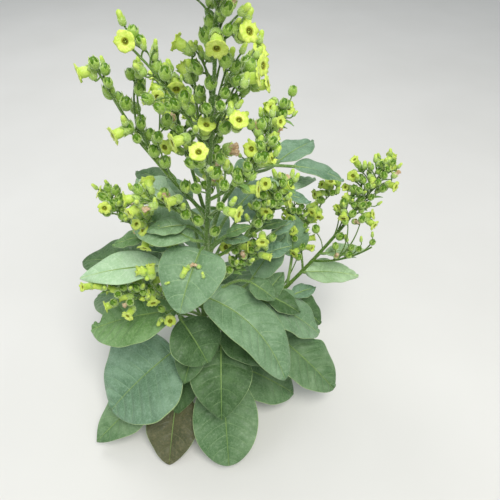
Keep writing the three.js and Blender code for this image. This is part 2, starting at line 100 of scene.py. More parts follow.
# Large leaves: name, carrier, distance up the carrier, stalk's chord and blade's chord (azimuth, rise,
# length), width, droop, place of the greatest width, bluntness, tint
LEAVES = [
    ("leaf_front_lowest", "main_stem", 42, (-58, 29, 90), (-84, -24, 157), 114, 20, 0.52, 0.52, "mid"),
    ("leaf_front_brown", "main_stem", 24, (-113, 19, 106), (-94, -25, 124), 94, 26, 0.44, 0.72, "brown"),
    ("leaf_front_low", "main_stem", 96, (-53, 41, 83), (-88, -24, 120), 106, 24, 0.4, 0.82, "deep"),
    ("leaf_front_middle", "main_stem", 165, (-132, 50, 73), (-50, -33, 84), 88, 30, 0.5, 0.56, "deep"),
    ("leaf_front_high", "main_stem", 350, (-98, 66, 42), (-111, -34, 91), 94, 34, 0.3, 0.62, "grey"),
    ("leaf_left_large", "main_stem", 82, (-138, 34, 74), (-143, -24, 152), 188, 26, 0.43, 0.6, "blue"),
    ("leaf_left_lowest", "main_stem", 30, (-133, 16, 112), (-139, -16, 145), 92, 22, 0.42, 0.8, "mid"),
    ("leaf_left_notched", "main_stem", 172, (-144, 54, 78), (-178, -17, 157), 108, 26, 0.46, 0.6, "fresh"),
    ("leaf_left_pale", "main_stem", 300, (-168, 37, 71), (-178, -10, 130), 56, 28, 0.42, 0.8, "pale"),
    ("leaf_right_long", "main_stem", 192, (-64, 76, 68), (-37, -31, 194), 96, 44, 0.37, 0.58, "grey"),
    ("leaf_right_low", "main_stem", 36, (-35, 24, 93), (-16, -24, 122), 106, 24, 0.45, 0.66, "mid"),
    ("leaf_right_broad", "main_stem", 110, (5, 11, 113), (-35, -24, 176), 104, 30, 0.5, 0.62, "mid"),
    ("leaf_right_inner", "main_stem", 166, (3, 30, 112), (-7, -36, 139), 88, 30, 0.45, 0.66, "grey"),
    ("leaf_right_upright", "main_stem", 216, (20, 26, 98), (39, 38, 92), 66, 26, 0.42, 0.8, "grey"),
    ("leaf_side_front", "side_stem_right_basal", 186, (-20, 26, 22), (-28, -26, 84), 64, 30, 0.45, 0.68,
     "deep"),
    # leaf_side_right and leaf_side_tip take the bright tint as painted light, lightening them in the shade of
    # the flower masses above
    ("leaf_side_right", "side_stem_right_basal", 258, (-30, 20, 8), (4, -11, 104), 60, 30, 0.36, 0.8,
     "bright"),
    ("leaf_side_tip", "side_stem_right_basal", 306, (-20, 20, 10), (10, -4, 80), 32, 26, 0.4, 0.86, "bright"),
    ("leaf_side_inner", "side_stem_right_basal", 220, (76, 60, 58), (100, 72, 88), 58, 30, 0.42, 0.82,
     "grey"),
    # The light tint here is painted light, lightening a leaf that the flower masses shade
    ("leaf_left_high", "main_stem", 392, (-150, 36, 26), (150, -2, 104), 74, 26, 0.42, 0.76, "light"),
    ("leaf_left_upper", "main_stem", 428, (150, 24, 40), (146, 4, 84), 58, 26, 0.42, 0.8, "pale"),
    ("leaf_left_middle", "main_stem", 246, (162, 36, 84), (166, -8, 150), 96, 30, 0.42, 0.7, "deep"),
    ("leaf_left_back", "main_stem", 110, (152, 22, 104), (158, -18, 168), 116, 30, 0.42, 0.66, "mid"),
    # The pale tint here is painted light on a leaf in the shade of the flower masses above
    ("leaf_back_high", "main_stem", 332, (58, 28, 114), (32, -5, 147), 48, 26, 0.42, 0.82, "pale"),
    ("leaf_back_right", "main_stem", 300, (61, 25, 105), (60, 0, 133), 78, 30, 0.42, 0.8, "blue"),
    ("leaf_back_middle", "main_stem", 222, (92, 28, 96), (98, -10, 156), 104, 32, 0.42, 0.7, "grey"),
    ("leaf_back_left", "main_stem", 160, (124, 24, 100), (128, -14, 160), 108, 30, 0.42, 0.66, "mid"),
    ("leaf_back_low", "main_stem", 64, (72, 20, 104), (66, -16, 165), 108, 24, 0.42, 0.66, "deep"),
]
LEAF_WORDS = ("name", "on", "from", "stalk", "blade", "width", "droop", "widest", "blunt", "tint")


# Vectors are numpy arrays in millimetres
def direction(azimuth, rise):
    """Gives the unit vector of an azimuth and a rise."""
    turn, lift = math.radians(azimuth), math.radians(rise)
    return np.array([math.cos(lift) * math.cos(turn), math.cos(lift) * math.sin(turn), math.sin(lift)])


def unit(vector):
    """Scales a vector, or each row of an array of vectors, to a length of one."""
    vector = np.asarray(vector, float)
    return vector / np.maximum(np.linalg.norm(vector, axis=-1, keepdims=True), 1e-9)


def short_turn(first, second):
    """Gives the turn that is the second azimuth, counted the short way round from the first."""
    return second - 360 * round((second - first) / 360)


def spot(u, v, depth):
    """Gives the place that the photograph shows at a pixel and a depth from the camera."""
    pitch = math.radians(CAMERA_PITCH)
    across, down = (u - PICTURE / 2) / FOCAL, (v - PICTURE / 2) / FOCAL
    x, y, z = CAMERA_PLACE
    return np.array([x + across * depth, y + depth * (math.cos(pitch) - down * math.sin(pitch)),
                     z - depth * (math.sin(pitch) + down * math.cos(pitch))])


def pixels(points):
    """Gives the pixels at which the photograph shows some points, and their depths."""
    pitch = math.radians(CAMERA_PITCH)
    x, y, z = (points - np.array(CAMERA_PLACE)).T
    depth = y * math.cos(pitch) - z * math.sin(pitch)
    down = -z * math.cos(pitch) - y * math.sin(pitch)
    return PICTURE / 2 + FOCAL * np.stack([x, down], axis=-1) / depth[:, None], depth


def bearing(vector):
    """Gives a vector's azimuth and rise in whole degrees, and its length in whole millimetres."""
    x, y, z = vector
    level = math.hypot(x, y)
    return (round(math.degrees(math.atan2(y, x))), round(math.degrees(math.atan2(z, level))),
            round(math.hypot(level, z)))


def px(u, v, depth):
    """Gives the place at a pixel and a depth in whole millimetres."""
    return np.round(spot(u, v, depth))


def shown(kind, u, v, depth, right, up, near):
    """Gives the place, the azimuth and rise, and the kind of a flower or bud whose mouth shows at a pixel.

    It faces to the right, up and towards the camera by the last three numbers.
    """
    pitch = math.radians(CAMERA_PITCH)
    facing = bearing((right, up * math.sin(pitch) - near * math.cos(pitch),
                      up * math.cos(pitch) + near * math.sin(pitch)))
    return px(u, v, depth), facing[:2], kind


class Curve:
    """A line through points, with the heading, the side and the upper side at each."""

    def __init__(self, points, ahead, side):
        self.points = np.array(points)
        self.ahead = unit(ahead)
        self.side = unit(side)
        self.up = unit(np.cross(self.ahead, self.side))
        self.share = np.linspace(0, 1, len(points))

    def at(self, what, share):
        """Gives points, ahead, side or up at shares of the curve."""
        values = getattr(self, what)
        return np.stack([np.interp(share, self.share, values[:, i]) for i in range(3)], axis=-1)


def walk(start, azimuth, rise, length, steps):
    """Follows a curve whose azimuth and rise change evenly along it."""
    last = short_turn(*azimuth)
    point = np.array(start, float)
    points = [point.copy()]
    ahead = [direction(azimuth[0], rise[0])]
    side = [direction(azimuth[0] + 90, 0)]
    for i in range(1, steps + 1):
        t, middle = i / steps, (i - 0.5) / steps
        turn = azimuth[0] + (last - azimuth[0]) * middle
        point += direction(turn, rise[0] + (rise[1] - rise[0]) * middle) * (length / steps)
        points.append(point.copy())
        turn = azimuth[0] + (last - azimuth[0]) * t
        ahead.append(direction(turn, rise[0] + (rise[1] - rise[0]) * t))
        side.append(direction(turn + 90, 0))
    return Curve(points, ahead, side)


def walk_stalk(foot, stalk, blade_azimuth, blade_rise, steps):
    """Follows a leaf stalk that sets off steeper than its chord and arrives along the blade."""
    azimuth, rise, length = stalk
    base = foot + direction(azimuth, rise) * length
    leave = direction(azimuth, min(rise + STALK_ARCH, STEEPEST_STALK)) * length
    arrive = direction(blade_azimuth, blade_rise) * length
    last = short_turn(azimuth, blade_azimuth)
    t = np.linspace(0, 1, steps + 1)[:, None]
    s = 1 - t
    points = foot * (1 + 2 * t) * s * s + base * t * t * (3 - 2 * t) + leave * t * s * s - arrive * t * t * s
    ahead = (base - foot) * 6 * t * s + leave * s * (1 - 3 * t) + arrive * t * (3 * t - 2)
    side = [direction(azimuth + (last - azimuth) * share + 90, 0) for share in t[:, 0]]
    return Curve(points, ahead, side)


def bend(start, heading, end, pull, steps):
    """Follows a curve that leaves along a heading and ends at a point.

    pull is the share of the way that it keeps its heading for.
    """
    start, end = np.array(start, float), np.array(end, float)
    middle = start + unit(heading) * np.linalg.norm(end - start) * pull
    t = np.linspace(0, 1, steps + 1)[:, None]
    points = start * (1 - t) ** 2 + middle * 2 * t * (1 - t) + end * t * t
    ahead = unit((middle - start) * (1 - t) + (end - middle) * t + 1e-6)
    side = np.cross(ahead, unit(np.array([0.2, 0.1, 1.0])))
    return Curve(points, ahead, side)


def stem_axis(height):
    """Gives the main stem's axis at a height."""
    share = (height / STEM_HEIGHT) ** STEM_BEND
    return np.array([STEM_LEAN_RIGHT * share, -STEM_LEAN_FRONT * share, height])


def stem_radius(height):
    """Gives the main stem's radius at a height, with the root flare."""
    left = max(0, 1 - height / STEM_HEIGHT)
    flare = FLARE_RADIUS * math.exp(-height / FLARE_HEIGHT)
    return STEM_TOP_RADIUS + STEM_SWELL * left ** STEM_TAPER + flare


class Heap:
    """Gathers triangles with a paint number for each, and makes them one object."""

    def __init__(self):
        self.points, self.faces, self.paints, self.count = [], [], [], 0

    def add(self, points, faces, paints):
        """Adds a body: its points, its triangles, and one paint number for all of them or one for each."""
        self.points.append(np.asarray(points, float).reshape(-1, 3))
        self.faces.append(np.asarray(faces, int) + self.count)
        self.paints.append(np.broadcast_to(np.asarray(paints, int), (len(faces),)))
        self.count += len(self.points[-1])

    def take(self, other, shift):
        """Adds all of another heap, with its paint numbers shifted."""
        for points, faces, paints in zip(other.points, other.faces, other.paints):
            self.points.append(points)
            self.faces.append(faces + self.count)
            self.paints.append(paints + shift)
        self.count += other.count

    def make(self, name, materials, slot, *nodes):
        """Makes the object, in metres, riding on the frame's body and replacing the nodes."""
        mesh = bpy.data.meshes.new(name)
        points = np.concatenate(self.points) * 0.001
        faces = np.concatenate(self.faces)
        mesh.vertices.add(len(points))
        mesh.vertices.foreach_set("co", points.ravel())
        mesh.loops.add(faces.size)
        mesh.loops.foreach_set("vertex_index", faces.ravel())
        mesh.polygons.add(len(faces))
        mesh.polygons.foreach_set("loop_start", np.arange(0, faces.size, 3))
        mesh.polygons.foreach_set("material_index", np.concatenate(self.paints))
        mesh.polygons.foreach_set("use_smooth", np.ones(len(faces), bool))
        for material in materials:
            mesh.materials.append(material)
        mesh.update(calc_edges=True)
        piece = bpy.data.objects.new(name, mesh)
        bpy.context.collection.objects.link(piece)
        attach(piece, "root")
        if nodes:
            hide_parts(*nodes)


def grid_faces(rows, columns, closed):
    """Gives the triangles between rows of points; closed joins each row's last point to its first."""
    across = columns if closed else columns - 1
    row, column = np.meshgrid(np.arange(rows - 1), np.arange(across), indexing="ij")
    here, after = row * columns + column, row * columns + (column + 1) % columns
    first = np.stack([here, after, after + columns], axis=-1)
    second = np.stack([here, after + columns, here + columns], axis=-1)
    return np.stack([first, second], axis=2).reshape(-1, 3)


def cap_faces(rows, columns):
    """Gives the triangles that close the first and the last of some rings."""
    last = (rows - 1) * columns
    turns = np.arange(1, columns - 1)
    under = np.stack([0 * turns, turns + 1, turns], axis=-1)
    over = np.stack([last + 0 * turns, last + turns, last + turns + 1], axis=-1)
    return np.concatenate([under, over])


def tube(curve, radii, sides, ridges=0, ridge=0):
    """Gives the body of a tube round a curve, with one radius for each point and raised ridges along it."""
    angle = np.linspace(0, 2 * np.pi, sides, endpoint=False)
    swell = 1 + ridge * np.cos(ridges * angle)
    across, above = np.cos(angle)[None, :, None], np.sin(angle)[None, :, None]
    spokes = across * curve.side[:, None] + above * curve.up[:, None]
    rings = curve.points[:, None] + np.asarray(radii)[:, None, None] * swell[None, :, None] * spokes
    rows = len(curve.points)
    faces = np.concatenate([grid_faces(rows, sides, True), cap_faces(rows, sides)])
    return rings.reshape(-1, 3), faces


def place(body, origin, heading, scale, twist):
    """Gives a body's points with its +Z along a heading."""
    z = unit(heading)
    x = unit(np.cross([0.3, 0.2, 1.0] if abs(z[2]) < 0.9 else [1.0, 0.1, 0.0], z))
    y = np.cross(z, x)
    turned = [x * math.cos(twist) + y * math.sin(twist), y * math.cos(twist) - x * math.sin(twist), z]
    return body @ np.stack(turned) * scale + np.asarray(origin)


# Materials. Colours are given as they look on a screen, from 0 to 255
def tone(red, green, blue):
    """Turns a screen colour into a linear one."""
    shares = [value / 255 for value in (red, green, blue)]
    return tuple(c / 12.92 if c <= 10 / 255 else ((c + 0.055) / 1.055) ** 2.4 for c in shares) + (1,)


def node(tree, kind, inputs=(), **settings):
    """Adds a node, with its settings, and its inputs set to values or linked to other nodes' outputs."""
    made = tree.nodes.new(kind)
    for word, value in settings.items():
        setattr(made, word, value)
    for key, value in dict(inputs).items():
        if isinstance(value, bpy.types.NodeSocket):
            tree.links.new(value, made.inputs[key])
        else:
            made.inputs[key].default_value = value
    return made


def blend(tree, factor, first, second):
    """Mixes two colours and gives the output."""
    return node(tree, "ShaderNodeMix", {0: factor, 6: first, 7: second}, data_type="RGBA").outputs[2]


def span(tree, value, low, high, to_low, to_high):
    """Maps a value from one span to another and gives the output."""
    return node(tree, "ShaderNodeMapRange", {0: value, 1: low, 2: high, 3: to_low, 4: to_high}).outputs[0]


def noise(tree, place, scale, detail=3.0):
    """Adds a noise texture and gives its factor."""
    inputs = {"Vector": place, "Scale": scale, "Detail": detail}
    return node(tree, "ShaderNodeTexNoise", inputs).outputs["Fac"]


def mixed(first, second, share):
    """Gives a colour that lies a share of the way from the first to the second, or beyond it."""
    return tuple(max(0.0, a + (b - a) * share) for a, b in zip(first, second))


# The depth of the surfaces' relief, in metres, how far roughness wanders, how much finer the patches are
# than the broad mottling, the colour and the roughness of the sheen of short hairs, and the strength of shine
RELIEF = 0.0006
ROUGH_SPREAD = 0.06
PATCHES = 3.1
SHEEN = tone(225, 240, 205)
SHEEN_ROUGHNESS = 0.4
SPECULAR = 0.35


def plant_material(name, main, other, fleck, coarse, fine, roughness, bump, fuzz, net=0.0):
    """Makes a mottled plant surface from linear colours.

    main and other are the two tones of the broad mottling, fleck the tone of fine marks and of the net of
    small veins, coarse and fine the scales of the two noises, fuzz the weight of the sheen of short hairs,
    and net the scale of the net of veins.
    """
    material = bpy.data.materials.new(name)
    material.use_nodes = True
    tree = material.node_tree
    shader = tree.nodes["Principled BSDF"]
    place = node(tree, "ShaderNodeTexCoord").outputs["Object"]
    broad = span(tree, noise(tree, place, coarse, 4.0), 0.38, 0.62, 0, 1)
    patch = span(tree, noise(tree, place, PATCHES * coarse, 2.0), 0.4, 0.7, 0, 0.6)
    small = noise(tree, place, fine)
    colour = blend(tree, broad, main, other)
    colour = blend(tree, patch, colour, mixed(main, other, 1.5))
    colour = blend(tree, span(tree, small, 0.5, 0.75, 0, 0.45), colour, fleck)
    height = small
    if net:
        cells = node(tree, "ShaderNodeTexVoronoi", {"Vector": place, "Scale": net},
                     feature="DISTANCE_TO_EDGE")
        line = span(tree, cells.outputs["Distance"], 0.0, 0.12, 1, 0)
        colour = blend(tree, span(tree, line, 0, 1, 0, 0.22), colour, fleck)
        height = node(tree, "ShaderNodeMath", {0: small, 1: line}, operation="SUBTRACT").outputs[0]
    tree.links.new(colour, shader.inputs["Base Color"])
    rough = span(tree, broad, 0, 1, roughness - ROUGH_SPREAD, roughness + ROUGH_SPREAD)
    tree.links.new(rough, shader.inputs["Roughness"])
    relief = node(tree, "ShaderNodeBump", {"Height": height, "Strength": bump, "Distance": RELIEF})
    tree.links.new(relief.outputs["Normal"], shader.inputs["Normal"])
    shader.inputs["Specular IOR Level"].default_value = SPECULAR
    shader.inputs["Sheen Weight"].default_value = fuzz
    shader.inputs["Sheen Roughness"].default_value = SHEEN_ROUGHNESS
    shader.inputs["Sheen Tint"].default_value = SHEEN
    return material


def skin(name, main, other, fleck, *rest):
    """Makes a mottled plant surface from screen colours."""
    return plant_material(name, tone(*main), tone(*other), tone(*fleck), *rest)


# Leaf tints: blade's two tones, its net and flecks, and its midrib
# The bright and light tints are painted light: lighter copies for leaves that lie in the shade of the flower
# masses.
# The pale tint is partly painted light in the same way, and the deep tint is partly painted shade.
TINTS = {
    "blue": ((124, 156, 126), (96, 130, 98), (152, 182, 156), (160, 182, 120)),
    "grey": ((132, 164, 126), (104, 138, 98), (158, 186, 150), (168, 190, 124)),
    "light": ((158, 190, 148), (128, 162, 116), (184, 210, 174), (184, 206, 140)),
    "mid": ((112, 142, 100), (86, 120, 76), (140, 168, 126), (150, 176, 104)),
    "deep": ((86, 118, 72), (64, 96, 52), (112, 142, 96), (130, 158, 90)),
    "fresh": ((124, 160, 104), (96, 134, 74), (156, 186, 132), (168, 194, 112)),
    "bright": ((184, 212, 168), (156, 188, 138), (204, 226, 192), (200, 218, 152)),
    "pale": ((190, 216, 184), (166, 198, 156), (210, 230, 202), (190, 208, 150)),
    "brown": ((96, 98, 68), (74, 80, 50), (128, 120, 84), (128, 130, 84)),
}
SLOTS = {"pale": "pale_leaf", "deep": "deep_leaf", "brown": "brown_leaf"}
RIM = skin("leaf rim", (170, 192, 138), (140, 168, 110), (190, 204, 160), 60, 500, 0.6, 0.2, 0.3)
STALK = skin("leaf stalk", (126, 156, 82), (100, 134, 64), (166, 188, 124), 30, 400, 0.55, 0.3, 0.6)


def leaf_materials(tint):
    """Makes the materials of one tint: blade, midrib, rim, underside, stalk and side veins."""
    main, other, fleck, rib = [tone(*colour) for colour in TINTS[tint]]
    under = mixed(main, rib, 0.4)
    vein = mixed(main, rib, 0.35)
    return [
        plant_material(tint + " blade", main, other, fleck, 16, 260, 0.44, 0.6, 0.1, net=210),
        plant_material(tint + " midrib", rib, mixed(rib, main, 0.3), rib, 90, 600, 0.5, 0.2, 0.2),
        RIM,
        plant_material(tint + " underside", under, main, rib, 30, 300, 0.65, 0.4, 0.3, net=200),
        STALK,
        plant_material(tint + " side veins", vein, main, vein, 70, 500, 0.5, 0.2, 0.15),
    ]


LEAF_MATERIALS = {tint: leaf_materials(tint) for tint in TINTS}
BLADE, RIBS, RIM_PAINT, UNDERSIDE, STALK_PAINT, VEINS = range(6)


# Carriers: each stem's curve, and what gives a point and a heading on it
limbs = {}
LIMB_STEPS = 60
LOOK_AHEAD = 5


def carrier(name, distance):
    """Gives the point and the heading at a distance up a stem."""
    if name == "main_stem":
        point = stem_axis(distance)
        return point, unit(stem_axis(distance + LOOK_AHEAD) - point)
    curve, length = limbs[name][:2]
    share = distance / length
    return curve.at("points", share), unit(curve.at("ahead", share))


for name, on, distance, azimuth, rise, length, bare, radius, mass, width in SIDE_STEMS:
    foot = carrier(on, distance)[0]
    limbs[name] = (walk(foot, azimuth, rise, length, LIMB_STEPS), length, bare, radius, mass, width)


# Large leaves
BLADE_ROUND = 0.22
VEIN_SWEEP = 0.2
VEIN_BEND = 1.4
VEIN_WIDTH = 1.1
MIDRIB_DEPTH = 0.6
ROWS_BETWEEN = 6
RIB_WIDTH = 1.5
THICKNESS = 0.7
SWELL = 2.2
ACROSS = (0, 0.05, 0.12, 0.2, 0.3, 0.41, 0.53, 0.65, 0.77, 0.87, 0.94, 0.985, 1)
VEINS_END = 0.9
MIDRIB_END = 0.96
MIDRIB_ROWS = 24
MIDRIB_RADIUS = 2.1
MIDRIB_TIP_RADIUS = 0.45
STALK_FOOT_RADIUS = STALK_RADIUS + 0.3
STALK_TOP_RADIUS = 2.5
STALK_CORNERS = 10
STALK_RIDGES = 2
STALK_RIDGE_HEIGHT = 0.06
STALK_HAIRS = 5

# What single leaves show: quilting and waves of the rim, a swing sideways and a roll in degrees, and bites
# out of the rim, each with its place along the blade, its side (1 left, -1 right), breadth and depth
HABITS = {
    "leaf_right_broad": {"quilt": 5.0, "bites": [(0.5, 1, 0.06, 0.2)]},
    "leaf_left_large": {"quilt": 4.0, "wave": 3},
    "leaf_front_middle": {"quilt": 2.0},
    "leaf_front_high": {"quilt": 1.6, "wave": 1.5},
    "leaf_left_pale": {"quilt": 0.8, "wave": 2, "roll": 12},
    "leaf_right_long": {"quilt": 2.4, "wave": 2.4, "swing": 44, "roll": 8},
    "leaf_left_notched": {"quilt": 3.4, "roll": 10, "bites": [(0.9, -1, 0.05, 0.75)]},
    "leaf_left_high": {"roll": 10},
}
FULL_WAVE_WIDTH = 90
STALK_STEPS = 14
BLADE_STEPS = 60


def half_width(t, width, widest, blunt):
    """Gives a blade's half width at shares of its length."""
    skew = math.log(0.5) / math.log(widest)
    return np.maximum(width / 2 * np.maximum(0, np.sin(np.pi * t ** skew)) ** blunt,
                      np.where(t < 0.5, STALK_RADIUS, TIP_HALF_WIDTH))


class Leaf:
    """One leaf: a stalk that bends over into a blade with a sunk midrib, side veins and a wavy rim."""

    def __init__(self, plan, foot, seed, veins=None):
        self.plan = plan
        habit = HABITS.get(plan["name"], {})
        azimuth, rise, length = plan["blade"]
        swing, droop = habit.get("swing", 0), plan["droop"]
        first = azimuth + swing / 2
        self.stalk = walk_stalk(foot, plan["stalk"], first, rise + droop / 2, STALK_STEPS)
        self.blade = walk(self.stalk.points[-1], (first, azimuth - swing / 2),
                          (rise + droop / 2, rise - droop / 2), length, BLADE_STEPS)
        own = random.Random(seed)
        self.quilt = habit.get("quilt", own.uniform(2.0, 3.0))
        self.wave = habit.get("wave", own.uniform(2.2, 3.4)) * min(1, plan["width"] / FULL_WAVE_WIDTH)
        self.waves = own.uniform(2.0, 3.2)
        self.phases = {1: own.random(), -1: own.random()}
        self.swells = [own.uniform(-1, 1) for _ in range(4)]
        self.bites = habit.get("bites", [])
        self.roll = habit.get("roll", 0)
        self.veins = veins or max(4, round(length / 20))

    def half(self, t, side):
        """Gives the half width on one side, with its bites."""
        plan = self.plan
        half = half_width(t, plan["width"], plan["widest"], plan["blunt"])
        for at, where, breadth, depth in self.bites:
            if where == side:
                half = half * (1 - depth * np.exp(-((t - at) / breadth) ** 2))
        return half

    def surface(self, t, s, side, between=0.0):
        """Gives points of the upper face: t along the blade, s from the midrib's edge to the rim."""
        half = self.half(t, side)
        rib = np.minimum(RIB_WIDTH * (1 - 0.8 * t), 0.6 * half)
        x = rib + s * (half - rib)
        u = x / half
        fold = math.tan(math.radians(BLADE_FOLD)) + BLADE_ROUND
        height = half * (fold * u - BLADE_ROUND * u * u)
        turn = 2 * np.pi * (self.waves * t + self.phases[side])
        height = height + self.wave * u ** 3 * np.sin(turn) * np.sin(np.pi * t) ** 0.5
        first, second = self.swells[:2] if side == 1 else self.swells[2:]
        height = height + SWELL * np.sin(np.pi * u) * (first * np.sin(5 * t) + second * np.sin(9 * t + 1))
        height = height + self.quilt * np.sin(np.pi * between) * np.sin(np.pi * u ** 0.8)
        return self.lay(t, side * x, height)

    def lay(self, t, x, height):
        """Gives points to the left of the midrib and above it, and the upper side's direction there."""
        roll = np.radians(self.roll) * np.minimum(1, ROLL_RUN_IN * t)
        side, up = self.blade.at("side", t), self.blade.at("up", t)
        across = side * np.cos(roll)[..., None] - up * np.sin(roll)[..., None]
        above = up * np.cos(roll)[..., None] + side * np.sin(roll)[..., None]
        return self.blade.at("points", t) + across * x[..., None] + above * height[..., None], above

    def rows(self):
        """Gives each row's place on the midrib, its side of a vein, and its place between two veins.

        The side is -1 or 1, or 0 where the row isn't a vein's.
        """
        places = np.linspace(0.07, 0.93, self.veins)
        edges = [0.0, *places, 1.0]
        rows = [(0.0, 0, 0.0)]
        for k, (low, high) in enumerate(zip(edges, edges[1:])):
            for j in range(1, ROWS_BETWEEN + 1):
                share = j / (ROWS_BETWEEN + 1)
                rows.append((low + (high - low) * share, 0, share))
            if k < self.veins:
                rows += [(high, -1, 0.0), (high, 1, 0.0)]
        rows.append((1.0, 0, 0.0))
        return np.array(rows)

    def add_to(self, heap, hairy):
        """Adds the blade, and the stalk with the raised midrib below."""
        r, lean, between = self.rows().T
        skins = {}
        for side in (1, -1):
            s = np.array(ACROSS)[None, :]
            width = VEIN_WIDTH / self.plan["blade"][2] * (1 - 0.75 * s)
            sweep = VEIN_SWEEP * 4 * (r * (1 - r))[:, None] * s ** VEIN_BEND
            t = r[:, None] + lean[:, None] * width / 2 + sweep
            t = np.clip(t, 0, 1)
            skins[side] = self.surface(t, s + 0 * t, side, between[:, None] + 0 * t)
        ridge = np.clip(r + lean * VEIN_WIDTH / self.plan["blade"][2] / 2, 0, 1)
        middle = self.lay(ridge, 0 * r, 0 * r - MIDRIB_DEPTH)
        upper = np.concatenate([skins[1][0][:, ::-1], middle[0][:, None], skins[-1][0]], axis=1)
        above = np.concatenate([skins[1][1][:, ::-1], middle[1][:, None], skins[-1][1]], axis=1)
        lower = (upper - above * THICKNESS)[:, ::-1]
        rows, columns = upper.shape[:2]
        paint = np.full((rows - 1, 2 * columns), UNDERSIDE)
        paint[:, :columns - 1] = BLADE
        vein = (lean[:-1] == -1) & (lean[1:] == 1)
        reach = sum(1 for s in ACROSS if s < VEINS_END)
        centre = len(ACROSS)
        paint[vein, centre - reach:centre + reach] = VEINS
        paint[:, centre - 1:centre + 1] = RIBS
        paint[:, 0] = paint[:, columns - 2] = paint[:, columns - 1] = paint[:, -1] = RIM_PAINT
        faces = np.concatenate([grid_faces(rows, 2 * columns, True), cap_faces(rows, 2 * columns)])
        paints = np.concatenate([np.repeat(paint.ravel(), 2), np.full(4 * columns - 4, RIM_PAINT)])
        heap.add(np.concatenate([upper, lower], axis=1), faces, paints)
        self.add_stalk(heap, hairy)

    def add_stalk(self, heap, hairy):
        """Adds the stalk, which runs on as the raised midrib under the blade."""
        t = np.linspace(0, MIDRIB_END, MIDRIB_ROWS)
        radii = MIDRIB_RADIUS * (1 - t) ** 0.8 + MIDRIB_TIP_RADIUS
        sink = np.minimum(1, t / 0.08) * (0.35 * radii + 0.6)
        points = np.concatenate([self.stalk.points[:-1], self.lay(t, 0 * t, -sink)[0]])
        side = np.concatenate([self.stalk.side[:-1], self.blade.at("side", t)])
        curve = Curve(points, np.gradient(points, axis=0), side)
        foot_radii = np.linspace(STALK_FOOT_RADIUS, STALK_TOP_RADIUS, len(self.stalk.points) - 1)
        radii = np.concatenate([foot_radii, radii])
        heap.add(*tube(curve, radii, STALK_CORNERS, STALK_RIDGES, STALK_RIDGE_HEIGHT), STALK_PAINT)
        hairy.append((self.stalk, np.full(len(self.stalk.points), STALK_RADIUS), STALK_HAIRS))


# Curves with hairs on them, each with its radii and its hairs for each millimetre
hairy = []
leaves = {}
for seed, values in enumerate(LEAVES):
    plan = dict(zip(LEAF_WORDS, values))
    leaf = Leaf(plan, carrier(plan["on"], plan["from"])[0], seed)
    leaves[plan["name"]] = leaf
    heap = Heap()
    leaf.add_to(heap, hairy)
    tint = plan["tint"]
    heap.make(plan["name"] + "_blade", LEAF_MATERIALS[tint], SLOTS.get(tint, "leaf"), plan["name"])


def small_leaf(on, distance, base, tip, width, tint, stalk=None, blade=None):
    """Gives a leaf's row from the pixels and depths of its blade's base and tip.

    stalk and blade, where given, take the place of the two lengths that the pixels give.
    """
    base, tip = spot(*base), spot(*tip)
    first, second = bearing(base - carrier(on, distance)[0]), bearing(tip - base)
    return on, distance, (*first[:2], stalk or first[2]), (*second[:2], blade or second[2]), width, tint


# Smaller leaves that have no solid of their own: stem, distance up it, stalk, blade, width and tint
SMALL_LEAVES = [
    small_leaf("side_stem_back", 62, (238, 207, 610), (272, 177, 640), 26, "blue"),
    small_leaf("side_stem_mid_right", 66, (284, 196, 620), (311, 203, 640), 32, "blue"),
    small_leaf("side_stem_far_right", 84, (300, 166, 660), (344, 179, 690), 48, "blue", 108, 92),
    small_leaf("side_stem_far_right", 70, (282, 160, 670), (314, 142, 720), 54, "blue", 116, 92),
    small_leaf("side_stem_low_right", 60, (272, 234, 650), (295, 222, 660), 26, "blue"),
    small_leaf("side_stem_low_right", 66, (262, 228, 640), (287, 222, 650), 22, "deep"),
    small_leaf("side_stem_low_right", 50, (262, 256, 660), (292, 246, 670), 34, "blue"),
    small_leaf("main_stem", 372, (226, 236, 600), (252, 226, 600), 22, "fresh"),
    small_leaf("main_stem", 358, (224, 240, 610), (250, 240, 600), 24, "grey"),
    small_leaf("main_stem", 240, (250, 282, 700), (276, 300, 700), 44, "mid"),
    small_leaf("main_stem", 204, (268, 296, 730), (300, 314, 730), 46, "deep"),
    small_leaf("side_stem_right_basal", 190, (292, 296, 770), (316, 288, 790), 34, "blue"),
    small_leaf("main_stem", 186, (262, 300, 740), (284, 272, 750), 44, "mid"),
    # Painted light: the light tint lightens this leaf, which lies in the shade of the flower masses
    small_leaf("main_stem", 396, (186, 226, 570), (146, 232, 560), 36, "light"),
    small_leaf("side_stem_far_left", 26, (176, 248, 610), (140, 243, 640), 40, "blue"),
    small_leaf("main_stem", 434, (192, 200, 540), (166, 178, 560), 22, "grey"),
    small_leaf("side_stem_far_left", 66, (150, 236, 620), (112, 246, 640), 36, "fresh"),
    small_leaf("main_stem", 346, (214, 180, 690), (196, 160, 740), 44, "mid"),
    small_leaf("main_stem", 322, (172, 186, 700), (136, 172, 750), 50, "deep"),
    # These leaves fill dark gaps low in the plant; their deep tint is partly painted shade
    ("main_stem", 130, (-60, 40, 40), (-62, -30, 84), 56, "deep"),
    ("main_stem", 60, (-116, 34, 50), (-108, -24, 110), 72, "deep"),
    ("main_stem", 150, (-36, 30, 50), (-40, -14, 92), 60, "deep"),
    ("main_stem", 140, (-100, 36, 40), (-104, -18, 84), 56, "deep"),
    small_leaf("main_stem", 364, (238, 176, 660), (262, 158, 710), 40, "grey"),
]
SMALL_SHAPE = {"name": "small_leaf", "droop": 26, "widest": 0.42, "blunt": 0.8}
SMALL_VEINS = 4
FIRST_SMALL_SEED = 100

